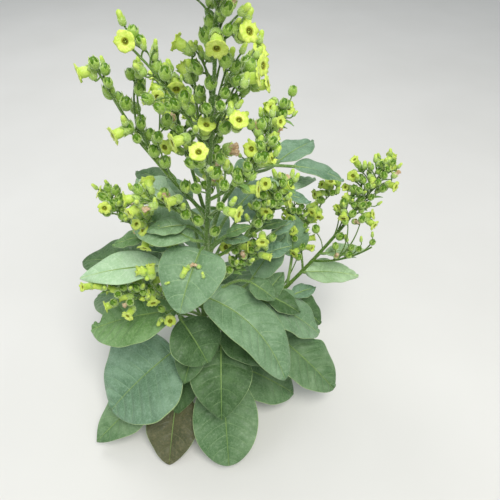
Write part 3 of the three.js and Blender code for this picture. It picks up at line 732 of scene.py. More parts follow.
small = Heap()
tints = list(TINTS)
for seed, (on, distance, stalk, blade, width, tint) in enumerate(SMALL_LEAVES):
    plan = dict(SMALL_SHAPE, stalk=stalk, blade=blade, width=width)
    leaf = Leaf(plan, carrier(on, distance)[0], FIRST_SMALL_SEED + seed, SMALL_VEINS)
    heap = Heap()
    leaf.add_to(heap, hairy)
    small.take(heap, len(LEAF_MATERIALS[tint]) * tints.index(tint))
small.make("small_leaves", [material for tint in tints for material in LEAF_MATERIALS[tint]], "leaf")


# Stems
STEM = skin("stem", (88, 122, 38), (66, 102, 24), (150, 176, 92), 26, 420, 0.55, 0.5, 0.8)
TWIG = skin("twig", (96, 130, 42), (76, 110, 28), (154, 180, 92), 40, 500, 0.55, 0.4, 0.8)
STEM_RINGS = 130
MAIN_CORNERS = 24
SIDE_CORNERS = 14
STEM_RIDGES = 5
RIDGE_HEIGHT = 0.05
MAIN_HAIRS = 9
SIDE_HAIRS = 7
SWELLING = 0.16
SWELLING_REACH = 5


def swollen(lengths, radii, places):
    """Widens a stem where leaves and side stems leave it."""
    near = [np.exp(-((lengths - place) / SWELLING_REACH) ** 2) for place in places]
    return radii * (1 + SWELLING * np.max([*near, 0 * lengths], axis=0))


def places_on(name):
    """Gives the distances up a stem where leaves and side stems leave it."""
    return [row[2] for row in LEAVES + SIDE_STEMS if row[1] == name]


heights = np.linspace(0, STEM_HEIGHT, STEM_RINGS)
axis = Curve([stem_axis(h) for h in heights], [[0, 0, 1]] * STEM_RINGS, [[1, 0, 0]] * STEM_RINGS)
radii = swollen(heights, np.array([stem_radius(h) for h in heights]), places_on("main_stem"))
heap = Heap()
heap.add(*tube(axis, radii, MAIN_CORNERS, STEM_RIDGES, RIDGE_HEIGHT), 0)
heap.make("main_stem_bark", [STEM], "stem", "main_stem")
hairy.append((axis, radii, MAIN_HAIRS))
for name, (curve, length, bare, ends, mass, width) in limbs.items():
    lengths = np.linspace(0, length, len(curve.points))
    radii = swollen(lengths, np.linspace(*ends, len(lengths)), places_on(name))
    heap = Heap()
    heap.add(*tube(curve, radii, SIDE_CORNERS, STEM_RIDGES, RIDGE_HEIGHT), 0)
    heap.make(name + "_bark", [STEM], "stem", name)
    hairy.append((curve, radii, SIDE_HAIRS))


# Flowers, capsules and buds, turned round +Z with their foot at the origin. A ring is its height, its
# radius, its paint and, where it has lobes, how far they reach up and out.
# EDGE paints the rims of the calyx's teeth pale: partly the teeth's own pale tips, partly painted sheen for
# the light that their hairs catch
CALYX, TUBE, LIMB, RING, THROAT, CAPSULE, DRY, EDGE = range(8)
LOBES = 5
FLOWER_CORNERS = 30
CORNERS = 20
FLAT_RIM = 20


def open_flower(limb, eye, rim):
    """Gives a flower's rings from the radii of its limb and its mouth and the height of its rim."""
    bent = 0.5 * (rim - FLAT_RIM)
    return [
        (0, 0.9, CALYX), (0.8, 3.0, CALYX), (3, 5.0, CALYX), (6.2, 5.5, CALYX), (7.8, 5.6, CALYX, 3.0, 0.5),
        (7.6, 5.0, EDGE, 2.7, 0.4), (5.5, 4.2, CALYX), (3, 3.0, CALYX), (3.2, 2.9, TUBE), (6, 3.9, TUBE),
        (10, 4.9, TUBE), (14, 5.5, TUBE), (16.8, 5.2, TUBE), (18.6, 6.0, TUBE, 0, 0.1),
        (19.4 + bent, 0.8 * limb, LIMB, 0.5, 0.2), (rim - 0.4, limb - 0.1, LIMB, 0.4, 0.65),
        (rim + 0.1, limb, LIMB, 0.4, 0.65), (20.2 + bent, 0.8 * limb, LIMB, 0.5, 0.2),
        (20.6, 0.6 * limb, LIMB, 0.25, 0), (20.4, eye + 1.4, LIMB), (19.9, eye + 0.4, RING),
        (18.8, 0.85 * eye, THROAT), (17.2, 0.6 * eye, THROAT),
    ]


SEED_CAPSULE = [
    (0, 0.9, CALYX), (0.6, 3.3, CALYX), (2.6, 5.2, CALYX), (5.4, 6.2, CALYX), (8.0, 6.2, CALYX, 1.4, -0.2),
    (8.8, 5.9, CALYX, 5.4, -1.5), (8.4, 5.4, EDGE, 5.2, -1.4), (5.2, 5.5, CALYX), (5.2, 5.2, CAPSULE),
    (8.8, 5.2, CAPSULE), (11.6, 4.3, CAPSULE), (13.6, 2.4, CAPSULE), (14.6, 0.5, CAPSULE),
]
BUD = [
    (0, 0.8, CALYX), (0.6, 2.7, CALYX), (3.2, 4.4, CALYX), (6.4, 4.4, CALYX), (7.8, 4.2, CALYX, 3.4, 0),
    (7.4, 3.7, EDGE, 3.0, 0), (5.6, 3.4, CALYX), (5.6, 3.1, TUBE), (9.5, 3.3, TUBE), (13, 3.5, TUBE),
    (15.6, 2.9, TUBE), (17.2, 0.9, TUBE),
]
WITHERED = [
    (0, 0.9, CALYX), (0.6, 2.9, CALYX), (3.2, 4.8, CALYX), (6.6, 5.2, CALYX), (7.8, 5.0, CALYX, 3.6, 0.1),
    (7.6, 4.5, EDGE, 3.0, 0.1), (5.6, 3.9, CALYX), (5.6, 3.2, DRY), (9.5, 2.9, DRY, 0, 0.3),
    (13, 2.5, DRY, 0, 0.7), (16, 3.6, DRY, 0.8, 0.9), (17.6, 1.5, DRY, 0.8, 0.5),
]


RIB = 0.17
FRILL = 0.4
FRILL_WAVES = (7, 10, 13)
FRILL_OUT = 0.6
FRILL_UP = 1.3


def lobe_waves(sides):
    """Gives round lobes with narrow notches between: one value for each corner of a ring."""
    angle = np.linspace(0, 2 * np.pi, sides, endpoint=False)
    return 2 * np.abs(np.cos(LOBES / 2 * angle)) ** 0.6 - 1


def lobe_teeth(sides):
    """Gives pointed teeth for the calyx: one value for each corner of a ring."""
    period = (np.arange(sides) * LOBES / sides) % 1
    return (1 - 2 * np.minimum(period, 1 - period)) ** 1.4


def organ(rings, sides, seed=0):
    """Turns rings into a body, with ribs and teeth on the calyx, and round frilled lobes on the limb."""
    teeth, waves = lobe_teeth(sides), lobe_waves(sides)
    angle = np.linspace(0, 2 * np.pi, sides, endpoint=False)
    own = random.Random(seed)
    frill = FRILL * sum(np.cos(k * angle + own.uniform(0, 6)) for k in FRILL_WAVES)
    widest = max(ring[1] for ring in rings)
    points = []
    for height, radius, paint, *lobes in rings:
        rise, reach = lobes or (0, 0)
        lobe = teeth if paint in (CALYX, EDGE) else waves
        out = radius + reach * lobe
        lift = rise * lobe
        if paint == CALYX:
            out = out + RIB * min(1, radius / 4) * np.cos(2 * LOBES * angle)
        if paint == LIMB:
            share = (radius / widest) ** 4
            out = out + FRILL_OUT * frill * share
            lift = lift + FRILL_UP * frill * share
        points.append(np.stack([out * np.cos(angle), out * np.sin(angle), height + lift], axis=-1))
    faces = np.concatenate([grid_faces(len(rings), sides, True), cap_faces(len(rings), sides)])
    paints = [ring[2] for ring in rings]
    return np.concatenate(points), faces, np.concatenate([
        np.repeat(paints[1:], 2 * sides), np.repeat([paints[0], paints[-1]], sides - 2)])


def blob(centre, radius, length, paint, sides=6):
    """Makes a small egg shape along +Z."""
    lift = np.linspace(-1, 1, 5)
    rings = []
    for w in lift:
        rings.append((centre[2] + length / 2 * w, max(0.15, radius * math.sqrt(max(0, 1 - w * w))), paint))
    points, faces, paints = organ(rings, sides)
    return points + [centre[0], centre[1], 0], faces, paints


def join(*bodies):
    """Joins bodies into one."""
    heap = Heap()
    for body in bodies:
        heap.add(*body)
    return np.concatenate(heap.points), np.concatenate(heap.faces), np.concatenate(heap.paints)


# The stigma's and the anthers' height, radius as a share of the mouth's, and length
STIGMA = (18.6, 0.32, 1.4)
ANTHERS = (18.9, 0.2, 1.3)
ANTHERS_OUT = 0.62


def whole_flower(seed, limb, eye, rim):
    """Makes an open flower with its stigma and anthers."""
    height, share, length = STIGMA
    parts = [organ(open_flower(limb, eye, rim), FLOWER_CORNERS, seed)]
    parts.append(blob((0, 0, height), share * eye, length, TUBE))
    height, share, length = ANTHERS
    for k in range(LOBES):
        turn = 2 * math.pi * k / LOBES
        centre = (ANTHERS_OUT * eye * math.cos(turn), ANTHERS_OUT * eye * math.sin(turn), height)
        parts.append(blob(centre, share * eye, length, RING))
    return join(*parts)


# Kinds of flowers and capsules; an open flower is made from its seed, the radii of its limb and its mouth,
# and the height of its rim
ORGANS = {
    "open": [whole_flower(1, 9.8, 2.7, 20.0), whole_flower(2, 9.2, 2.1, 20.8),
             whole_flower(3, 8.8, 2.4, 19.4)],
    "opening": [whole_flower(4, 7.2, 1.7, 21.4), whole_flower(5, 6.4, 1.5, 21.8)],
    "capsule": [organ(SEED_CAPSULE, CORNERS)],
    "bud": [organ(BUD, CORNERS)],
    "withered": [organ(WITHERED, CORNERS)],
}

# Surfaces in the order of their paint numbers: name, two tones and flecks, scales of the mottling,
# roughness, relief and sheen
FLOWER_SKINS = [skin(*row) for row in (
    ("calyx", (180, 206, 112), (150, 184, 80), (222, 234, 168), 160, 700, 0.5, 0.4, 1.0),
    ("flower tube", (200, 222, 104), (178, 208, 76), (228, 240, 152), 140, 800, 0.45, 0.25, 0.4),
    ("flower limb", (222, 238, 116), (192, 216, 80), (240, 247, 164), 170, 900, 0.45, 0.3, 0.2),
    ("flower mouth", (178, 190, 50), (150, 160, 34), (204, 212, 84), 200, 900, 0.5, 0.2, 0.2),
    ("flower throat", (128, 132, 22), (100, 104, 14), (150, 156, 44), 200, 900, 0.6, 0.2, 0.1),
    ("capsule", (96, 138, 26), (74, 116, 14), (150, 182, 70), 120, 600, 0.34, 0.15, 0.1),
    ("dry flower", (222, 202, 168), (188, 156, 118), (236, 222, 196), 160, 800, 0.7, 0.5, 0.2),
    # The calyx edge's pale tones are partly the teeth's own pale tips, partly painted sheen of their hairs
    ("calyx edge", (214, 226, 160), (190, 210, 128), (234, 240, 196), 160, 700, 0.5, 0.3, 0.5),
)]
CAPSULE_CALYX = skin("capsule calyx", (164, 196, 88), (130, 168, 56), (214, 228, 156),
                     190, 700, 0.5, 0.5, 1.0)
CAPSULE_SKINS = [CAPSULE_CALYX, *FLOWER_SKINS[1:]]

# Hairs: their radius, corners and faces, how many a calyx has, the length of the shortest, and the share of
# the hairs for each millimetre that is made
HAIR_RADIUS = 0.16
HAIR_CORNERS = np.array([[math.cos(a), math.sin(a)] for a in (0, 2.1, 4.2)])
HAIR_FACES = np.array([[0, 1, 3], [1, 2, 3], [2, 0, 3], [0, 2, 1]])
HAIRS_PER_CALYX = 28
SHORTEST_CALYX_HAIR = 1.1
SHORTEST_STEM_HAIR = 0.7
HAIR_SHARE = 0.33
spread = np.random.default_rng(7)


def spikes(foot, out, aside, length):
    """Gives closed hairs from their feet, their directions, a direction across them and their lengths."""
    first = unit(np.cross(out, aside))
    second = np.cross(out, first)
    corners = foot[:, None] + HAIR_RADIUS * (HAIR_CORNERS[None, :, :1] * first[:, None]
                                             + HAIR_CORNERS[None, :, 1:] * second[:, None])
    points = np.concatenate([corners, (foot + out * length[:, None])[:, None]], axis=1)
    faces = HAIR_FACES[None] + 4 * np.arange(len(foot))[:, None, None]
    return points.reshape(-1, 3), faces.reshape(-1, 3)


def calyx_hairs(rings):
    """Gives the hairs of a calyx from its outer rings."""
    height, radius = np.array([ring[:2] for ring in rings[:5]]).T
    level = 0.5 + (height[-1] + 1.5) * spread.random(HAIRS_PER_CALYX)
    angle = 2 * np.pi * spread.random(HAIRS_PER_CALYX)
    around = np.stack([np.cos(angle), np.sin(angle), 0 * angle], axis=-1)
    foot = around * (np.interp(level, height, radius) - 0.1)[:, None]
    foot = foot + np.stack([0 * level, 0 * level, level], axis=-1)
    out = unit(around + 0.4 * spread.standard_normal(foot.shape))
    return spikes(foot, out, np.array([0.0, 0.0, 1.0]), SHORTEST_CALYX_HAIR + spread.random(HAIRS_PER_CALYX))


# The hairs of each kind's calyx
COATS = {
    "open": calyx_hairs(open_flower(9, 2, 20)),
    "opening": calyx_hairs(open_flower(7, 2, 21)),
    "capsule": calyx_hairs(SEED_CAPSULE),
    "bud": calyx_hairs(BUD),
    "withered": calyx_hairs(WITHERED),
}

heaps = {kind: Heap() for kind in ORGANS}
organ_hairs = Heap()
twigs, bracts = Heap(), Heap()


def vary(low, high):
    """Picks a number between two."""
    return chance.uniform(low, high)


def put(kind, foot, heading, scale):
    """Adds one flower, capsule or bud."""
    points, faces, paints = chance.choice(ORGANS[kind])
    twist = vary(0, 2 * math.pi)
    heaps[kind].add(place(points, foot, heading, scale, twist), faces, paints)
    points, faces = COATS[kind]
    organ_hairs.add(place(points, foot, heading, scale, twist), faces, 0)


def twig(curve, first, last, sides, hairs):
    """Adds a thin twig that tapers, with its hairs."""
    radii = np.linspace(first, last, len(curve.points))
    twigs.add(*tube(curve, radii, sides), 0)
    if hairs:
        hairy.append((curve, radii, hairs))


# Twigs and stalks: radii at the foot and at the tip, corners, and hairs for each millimetre
CYME_TWIG = (1.6, 0.8, 7, 6)
SEEN_TWIG = (1.5, 0.8, 7, 8)
FLOWER_STALK = (1.0, 0.8, 5, 0)
CAPSULE_STALK = (0.9, 1.0, 5, 0)
HUNG_STALK = (0.9, 1.0, 5, 5)
BRACT_STEPS = 10
BRACT_WAVE = 0.12
BRACT_FOLD = 0.35
BRACT_THICKNESS = 0.5


def small_blade(foot, heading, length, width, droop):
    """Adds a bract: a narrow two-skinned blade that bends down."""
    azimuth = math.degrees(math.atan2(heading[1], heading[0]))
    rise = math.degrees(math.asin(unit(heading)[2]))
    curve = walk(foot, (azimuth, azimuth), (rise, rise - droop), length, BRACT_STEPS)
    t = np.linspace(0, 1, BRACT_STEPS + 1)
    half = np.maximum(0.5, width / 2 * np.sin(np.pi * t ** 0.8) ** 0.9)
    across = np.array([1, 0.55, 0, -0.55, -1])
    wave = BRACT_WAVE * half[:, None] * np.sin(9 * t)[:, None] * across ** 2
    wave = wave + BRACT_FOLD * half[:, None] * np.abs(across)
    upper = (curve.points[:, None] + curve.side[:, None] * (half[:, None] * across)[..., None]
             + curve.up[:, None] * wave[..., None])
    lower = (upper - curve.up[:, None] * BRACT_THICKNESS)[:, ::-1]
    grid = np.concatenate([upper, lower], axis=1)
    rows, columns = grid.shape[:2]
    bracts.add(grid, np.concatenate([grid_faces(rows, columns, True), cap_faces(rows, columns)]), 0)


# Cymes: how far a twig keeps along its stem, steps of its curve, lengths from foot to mouth of open and of
# closed ones, room round a mouth, steps between capsules, and how much of a cyme capsules fill beside
# flowers and alone
ALONG = 0.9
TWIG_STEPS = 20
FLOWER_LENGTH = 20.6
CLOSED_LENGTH = 17
MOUTH_ROOM = 10
CAPSULE_STEPS = (10, 12.5)
FILL_BESIDE = 0.45
FILL_ALONE = 0.72
BRACT_CHANCE = 0.45
NOD = np.array([0, 0, -0.75])

# What grows where on a cyme, counted from its end: buds up to the first share, then flowers, and withered
# flowers up to the last, each with its chance, and capsules where none of these grows
BUDS_TO = 0.25
BUD_CHANCE = 0.7
FLOWERS_TO = 0.4
BLOOM = 0.26
SPARSE_BLOOM = 0.06
WITHERED_TO = 0.45
WITHERED_CHANCE = 0.09


def leaning(point, ahead, end):
    """Follows a twig that sets off along its stem and leans out to its end."""
    return bend(point, unit(unit(end - point) + ALONG * ahead), end, 0.5, TWIG_STEPS)


def grow_cyme(start, ahead, end, seen, bloom=BLOOM):
    """Grows one cyme from a point on a stem: its axis, what hangs along it, and the flowers seen on it.

    Where none is seen, bloom is the chance that a stalk near its end has an open flower.
    """
    start, end = np.array(start, float), np.array(end, float)
    reach = np.linalg.norm(end - start)
    axis = leaning(start, ahead, end)
    twig(axis, *CYME_TWIG)
    outward = unit(end - start)
    side = unit(np.cross(outward, [0.1, 0.2, 1.0]))
    if chance.random() < BRACT_CHANCE:
        small_blade(axis.at("points", 0.12), outward + 0.3 * side, vary(16, 30), vary(5, 9), vary(20, 60))
    for mouth, facing, kind in seen:
        facing = direction(*facing)
        long = FLOWER_LENGTH if kind in ("open", "opening") else CLOSED_LENGTH
        foot = np.array(mouth, float) - facing * long
        share = float(np.argmin([np.linalg.norm(p - foot) for p in axis.points])) / TWIG_STEPS
        share = min(share, 0.96)
        twig(bend(foot + facing * 0.4, -facing, axis.at("points", share), 0.45, 7), *FLOWER_STALK)
        put(kind, foot, facing, vary(0.96, 1.04) if kind != "bud" else vary(0.8, 1))
    mouths = [np.array(mouth, float) - 10 * direction(*facing) for mouth, facing, kind in seen]
    step = vary(*CAPSULE_STEPS)
    count = max(2, int(reach * (FILL_BESIDE if seen else FILL_ALONE) / step))
    for k in range(count):
        share = 1 - (k * step) / reach
        hand = 1 if k % 2 else -1
        foot = axis.at("points", share)
        stray = np.array([vary(-0.3, 0.3), vary(-0.3, 0.3), 0.55])
        out = unit(0.45 * axis.at("ahead", share) + hand * 0.62 * side + stray)
        tip = foot + out * vary(5, 7.5)
        if any(np.linalg.norm(tip + out * 6 - mouth) < MOUTH_ROOM for mouth in mouths):
            continue
        twig(bend(foot, axis.at("ahead", share), tip, 0.4, 4), *CAPSULE_STALK)
        grown = k / max(count, 3)
        if grown < BUDS_TO and chance.random() < BUD_CHANCE:
            put("bud", tip - out, unit(out + [0, 0, 0.4]), vary(0.55, 0.85))
        elif grown < FLOWERS_TO and not seen and chance.random() < bloom:
            kind = chance.choice(["open", "opening"])
            put(kind, tip - out, unit(out + 0.4 * outward + NOD), vary(0.92, 1.02))
        elif grown < WITHERED_TO and chance.random() < WITHERED_CHANCE:
            put("withered", tip - out, unit(out + [0, 0, 0.1]), vary(0.8, 1))
        else:
            put("capsule", tip - out, unit(out + [0, 0, 0.5]), vary(0.78, 1.04))


# Room between a stem and the middle of what hangs on it, and that middle's height over its own foot
CLEAR = 8.5
CAPSULE_MIDDLE = 7


def hang(start, ahead, middle, kind, scale):
    """Hangs one capsule or bud, with its middle at a place, on a stalk from a point on a stem."""
    middle = np.array(middle, float)
    out = middle - start
    aside = out - ahead * float(out @ ahead)
    gap = np.linalg.norm(aside)
    if gap < CLEAR:
        middle = middle + unit(aside) * (CLEAR - gap)
    heading = unit(unit(middle - start) + np.array([0, 0, 0.7]))
    foot = middle - heading * CAPSULE_MIDDLE * scale
    twig(bend(start, unit(ahead + 0.6 * unit(aside)), foot + heading * 0.5, 0.5, 6), *HUNG_STALK)
    put(kind, foot, heading, scale)


# Cymes that show in the photograph: mass and stem, and for each cyme the distance up the stem, the place of
# its end, and what stands on it, each with the place of its mouth or tip, the azimuth and rise that it
# faces, and its kind. Most come from pixels, and a few are set in millimetres and degrees.
CYMES = [
    ("upper_left", "side_stem_upper_left", [
        (70, px(146, 50, 408), [
            ((-17, -66, 660), (-92, 22), "open"), shown("bud", 137, 62, 412, -0.5, 0.9, -0.2),
            shown("bud", 155, 43, 408, 0.1, 1, 0)]),
        (40, px(172, 78, 425), [shown("open", 176.7, 90, 421, 0.2, -0.9, 0.4)]),
        (20, px(192, 52, 400), [shown("open", 174.8, 41, 396, -0.85, 0.5, 0.1)])]),
    ("high_left", "side_stem_high_left", [
        (100, px(98, 72, 418), [
            shown("open", 76.6, 73.5, 414, -0.9, -0.35, 0.25), shown("bud", 89, 63, 418, -0.3, 0.9, 0.1)]),
        (96, px(136, 74, 430), [shown("bud", 141, 62, 430, 0.2, 1, 0.1)]),
        (60, px(127, 128, 462), [shown("open", 112.5, 136, 458, -0.8, -0.5, 0.3)]),
        (50, px(158, 142, 470), [shown("bud", 159, 93, 470, 0, 1, 0.1)])]),
    ("mid_left", "side_stem_mid_left", [
        (50, px(184, 196, 515), [shown("open", 167, 203, 511, -0.85, -0.35, 0.25)]),
        (50, px(158, 200, 508), [
            shown("withered", 143, 210, 506, -0.85, -0.4, 0.2), shown("bud", 155, 195, 508, 0, 1, 0)])]),
    ("low_left", "side_stem_low_left", [
        (62, px(149, 229, 585), [
            shown("open", 144.9, 248, 579, -0.15, -0.95, 0.3),
            shown("withered", 134, 231, 583, -0.9, 0.1, 0.3), shown("bud", 149, 220, 585, 0, 1, 0)])]),
    ("far_left", "side_stem_far_left", [
        (92, px(108, 200, 600), [
            shown("open", 98, 191, 596, -0.8, 0.3, 0.4), shown("bud", 108, 186, 600, -0.1, 1, 0)]),
        (96, px(122, 206, 606), [
            shown("open", 114, 200, 602, -0.8, 0.2, 0.4), shown("bud", 125, 196, 606, 0.1, 1, 0)])]),
    ("left_basal", "side_stem_left_basal", [
        (90, px(118, 302, 650), [
            shown("open", 105, 307, 647, -0.85, -0.3, 0.3),
            shown("open", 127.6, 316.5, 642, -0.3, -0.6, 0.7),
            shown("withered", 124, 306, 645, -0.5, -0.3, 0.6)]),
        (70, px(150, 296, 655), [
            shown("open", 153, 303.5, 649, 0.3, -0.8, 0.5), shown("open", 145, 295, 651, -0.5, 0.5, 0.6)]),
        (76, (-50, -62, 338), [
            ((-62, -66, 355), (-165, 20), "opening"), ((-44, -61, 360), (100, 60), "opening"),
            ((-57, -60, 360), (110, 60), "bud"), ((-50, -76, 346), (-100, 10), "bud")]),
        (40, px(163, 318, 668), [
            shown("open", 170, 321, 663, 0.25, -0.25, 0.95),
            shown("bud", 157, 327, 666, -0.3, -0.6, 0.4)])]),
    ("upper", "main_stem", [
        (596, (66, -88, 678), [((68, -108, 669), (-87, -24), "open")]),
        (560, px(192, 76, 412), []),
        (575, px(237, 60, 385), [shown("bud", 249, 70, 385, 0.3, 0.9, 0.1)]),
        (560, px(250, 62, 425), [
            shown("open", 260, 50, 421, 0.6, 0.2, 0.7), shown("open", 263, 66, 421, 0.75, -0.2, 0.5),
            shown("open", 269, 83, 425, 0.9, 0.1, 0.3)]),
        (520, px(205, 172, 425), [shown("open", 199, 152, 409, 0, 0.15, 1)]),
        (548, px(196, 134, 430), [
            shown("open", 172, 143, 424, -0.85, -0.4, 0.3), shown("open", 207, 124, 426, 0.2, 0.4, 0.8)]),
        (590, px(232, 112, 405), [
            shown("open", 239, 119, 400, 0.2, 0.2, 0.9), shown("bud", 231, 99, 405, 0, 1, 0)])]),
    ("top", "main_stem", [
        (660, px(240, 30, 352), [
            shown("open", 250, 31, 346, 0.5, -0.1, 0.8), shown("bud", 243, 15, 352, 0.5, 0.8, 0)]),
        (672, px(214, 22, 350), []),
        (690, px(232, -40, 325), [shown("open", 246, -46, 321, 0.6, 0.3, 0.7)]),
        (700, px(205, -52, 322), [shown("open", 192, -58, 318, -0.6, 0.5, 0.6)])]),
    ("right", "side_stem_right", [
        (44, px(258, 143, 472), [
            shown("open", 251, 149, 467, -0.35, -0.3, 0.85), shown("bud", 262, 135, 472, 0.3, 1, 0)]),
        (40, px(246, 184, 500), [shown("open", 259, 189, 497, 0.95, -0.05, 0.25)]),
        (20, px(222, 158, 468), [
            shown("withered", 237, 146, 468, 0.9, 0.1, 0.2),
            shown("withered", 238, 153, 466, 0.8, -0.2, 0.4), shown("bud", 228, 160, 464, 0.2, 0.4, 0.8)])]),
    ("right", "main_stem", [
        (440, px(228, 208, 500), [shown("open", 239, 214.5, 496, 0.9, -0.3, 0.35)])]),
    ("mid_right", "side_stem_mid_right", [
        (84, px(276, 201, 590), [shown("open", 290, 201.5, 587, 0.95, 0, 0.3)]),
        (76, px(270, 204, 600), [shown("open", 266, 212, 594, -0.2, -0.7, 0.6)]),
        (60, px(262, 224, 598), [shown("open", 262.7, 243, 590, 0, -0.75, 0.65)])]),
    ("low_right", "side_stem_low_right", [
        (72, px(236, 246, 640), [
            shown("open", 225.5, 247, 635, -0.4, 0, 0.9), shown("open", 250, 247, 637, 0.9, 0, 0.35),
            shown("bud", 227, 237, 640, -0.2, 1, 0)]),
        (72, px(254, 262, 655), [])]),
    ("far_right", "side_stem_far_right", [
        (96, px(279, 108, 560), [
            shown("open", 289, 107, 555, 0.5, 0.05, 0.85), (px(268, 107, 556), (-124, -6), "opening")]),
        (90, px(262, 122, 565), [])]),
    ("right_tip", "side_stem_right_basal", [
        (400, px(363, 170, 700), [
            shown("open", 353, 176, 694, -0.3, -0.5, 0.8), shown("opening", 354, 159, 697, -0.6, 0.5, 0.6),
            shown("bud", 365, 160, 700, 0, 1, 0)]),
        (404, px(377, 168, 690), [
            shown("open", 392, 167, 687, 0.85, 0, 0.5), shown("bud", 376, 152, 690, 0, 1, 0.1),
            shown("bud", 384, 158, 690, 0.6, 0.7, 0), shown("open", 375, 184, 685, 0.3, -0.8, 0.5)]),
        (380, px(358, 200, 722), [shown("open", 363, 206, 716, 0.1, -0.3, 0.95)]),
        (350, (263, 107, 354), [
            ((255, 115, 364), (-150, 30), "opening"), ((272, 114, 365), (60, 50), "bud")]),
        (344, (246, 89, 327), [((241, 95, 336), (-140, 20), "opening"), ((254, 91, 332), (-30, 40), "bud")]),
        (366, (278, 100, 357), [((288, 105, 366), (-30, 40), "bud")])]),
    ("right_front", "side_stem_right_basal_front", [
        (44, px(362, 216, 708), [
            shown("open", 374, 214, 705, 0.8, 0.1, 0.5), shown("open", 375, 226, 703, 0.6, -0.6, 0.5),
            shown("withered", 359, 222, 705, 0.4, -0.1, 0.8)]),
        (44, px(346, 210, 712), [shown("open", 343, 219, 706, -0.2, -0.8, 0.5)])]),
    ("right_left", "side_stem_right_basal_left", [
        (46, px(335, 190, 716), [
            shown("opening", 322, 185, 712, -0.8, 0.2, 0.5), shown("open", 314, 194.5, 712, -0.9, -0.2, 0.3),
            shown("open", 331, 181, 712, -0.1, 0.6, 0.8), shown("bud", 339, 184, 716, 0.2, 1, 0)]),
        (46, px(320, 207, 735), [
            shown("open", 311, 213, 731, -0.6, -0.5, 0.5), shown("open", 318.5, 218, 729, -0.2, -0.8, 0.5),
            shown("bud", 315, 204, 735, -0.2, 1, 0)])]),
    ("right_left", "side_stem_right_basal", [
        (190, px(302, 245, 770), [
            shown("opening", 312, 248, 766, 0.7, -0.2, 0.6),
            shown("open", 293, 254, 765, -0.6, -0.6, 0.4)])]),
]

# Thin twigs that show: stem, distance up it, pixel and depth of the twig's end, and the capsules and buds
# that hang on it, each with its kind, its pixel and its width in pixels
SEEN_TWIGS = [
    ("main_stem", 578, (229, 60, 392), [
        ("capsule", 235, 65, 11), ("capsule", 236, 81, 10), ("capsule", 223, 92, 10)]),
    ("side_stem_upper_left", 30, (195, 80, 432), [
        ("bud", 190, 66, 8), ("capsule", 192, 78, 9), ("capsule", 202, 109, 9)]),
    ("side_stem_upper_left", 44, (171, 71, 432), []),
    ("main_stem", 600, (203, 58, 400), [("capsule", 210, 82, 12), ("capsule", 200, 68, 10)]),
    ("main_stem", 540, (255, 58, 416), [
        ("capsule", 247, 71, 9), ("capsule", 244, 88, 10), ("bud", 243, 117, 9), ("bud", 262, 40, 9),
        ("capsule", 256, 84, 9)]),
    ("side_stem_right", 70, (272, 116, 470), []),
    ("side_stem_high_left", 120, (137, 68, 452), [("capsule", 138, 83, 10), ("capsule", 138, 72, 8)]),
    ("main_stem", 660, (240, 14, 340), []),
]

# Single capsules and buds that show: stem, kind, and the pixel and the width in pixels of each
SEEN_SINGLES = [
    ("side_stem_upper_left", "capsule", [(184, 98, 12)]),
    ("side_stem_high_left", "capsule", [(167, 120, 11), (126, 103, 12)]),
    ("side_stem_upper_left", "capsule", [(148, 99, 11), (160, 108, 10), (169, 107, 8), (164, 74, 12)]),
    ("side_stem_high_left", "capsule", [(130, 127, 10), (141, 124, 9)]),
    ("side_stem_upper_left", "bud", [(155, 45, 7), (144, 45, 8)]),
    ("main_stem", "capsule", [(209, 107, 10), (225, 128, 12)]),
    ("side_stem_right", "capsule", [(261, 124, 10), (251, 125, 9)]),
    ("main_stem", "capsule", [(227, 9, 12), (228, 29, 10)]),
    ("side_stem_high_left", "capsule", [(153, 151, 12), (165, 162, 11)]),
    ("side_stem_upper_left", "capsule", [(191, 163, 11)]),
    ("main_stem", "capsule", [(212, 171, 12)]),
    ("side_stem_right", "capsule", [(239, 176, 11), (227, 187, 10)]),
    ("side_stem_high_left", "capsule", [(185, 187, 11)]),
    ("main_stem", "capsule", [(196, 188, 10), (198, 221, 11)]),
    ("side_stem_mid_left", "capsule", [(184, 214, 10)]),
    ("main_stem", "capsule", [(215, 231, 10)]),
    ("side_stem_low_left", "capsule", [(161, 234, 9)]),
    ("side_stem_right", "capsule", [(258, 147, 10)]),
    ("side_stem_mid_right", "capsule", [(278, 200, 8)]),
    ("side_stem_low_right", "capsule", [(252, 232, 8)]),
    ("side_stem_left_basal", "capsule", [(133, 289, 11)]),
    ("side_stem_right_basal", "capsule", [(316, 229, 8), (340, 236, 8), (354, 189, 8), (344, 203, 8)]),
]

# What hangs on stems and twigs: a capsule's width, the largest scale, how far it stands in front of a twig
# or a stem, the lowest place on a stem, the step between looks at it, and how far a stalk rises from its
# stem
CAPSULE_WIDTH = 11.5
LARGEST_SCALE = 1.15
TWIG_FRONT = 3
STEM_FRONT = 4
LOWEST = 10
SAMPLE_STEP = 3
LEAST_RISE = 6
RISE_SHARE = 0.7


def beside(points, u, v, size, nearer):
    """Finds what hangs beside a line: the number of the line's point next to it, its place and its scale.

    The photograph shows it at a pixel and size pixels wide, and it stands a little nearer than the line.
    """
    seen, depth = pixels(points)
    nearest = int(np.argmin(np.hypot(*(seen - (u, v)).T)))
    scale = min(LARGEST_SCALE, round(size * depth[nearest] / FOCAL / CAPSULE_WIDTH, 2))
    return nearest, spot(u, v, depth[nearest] - nearer), scale


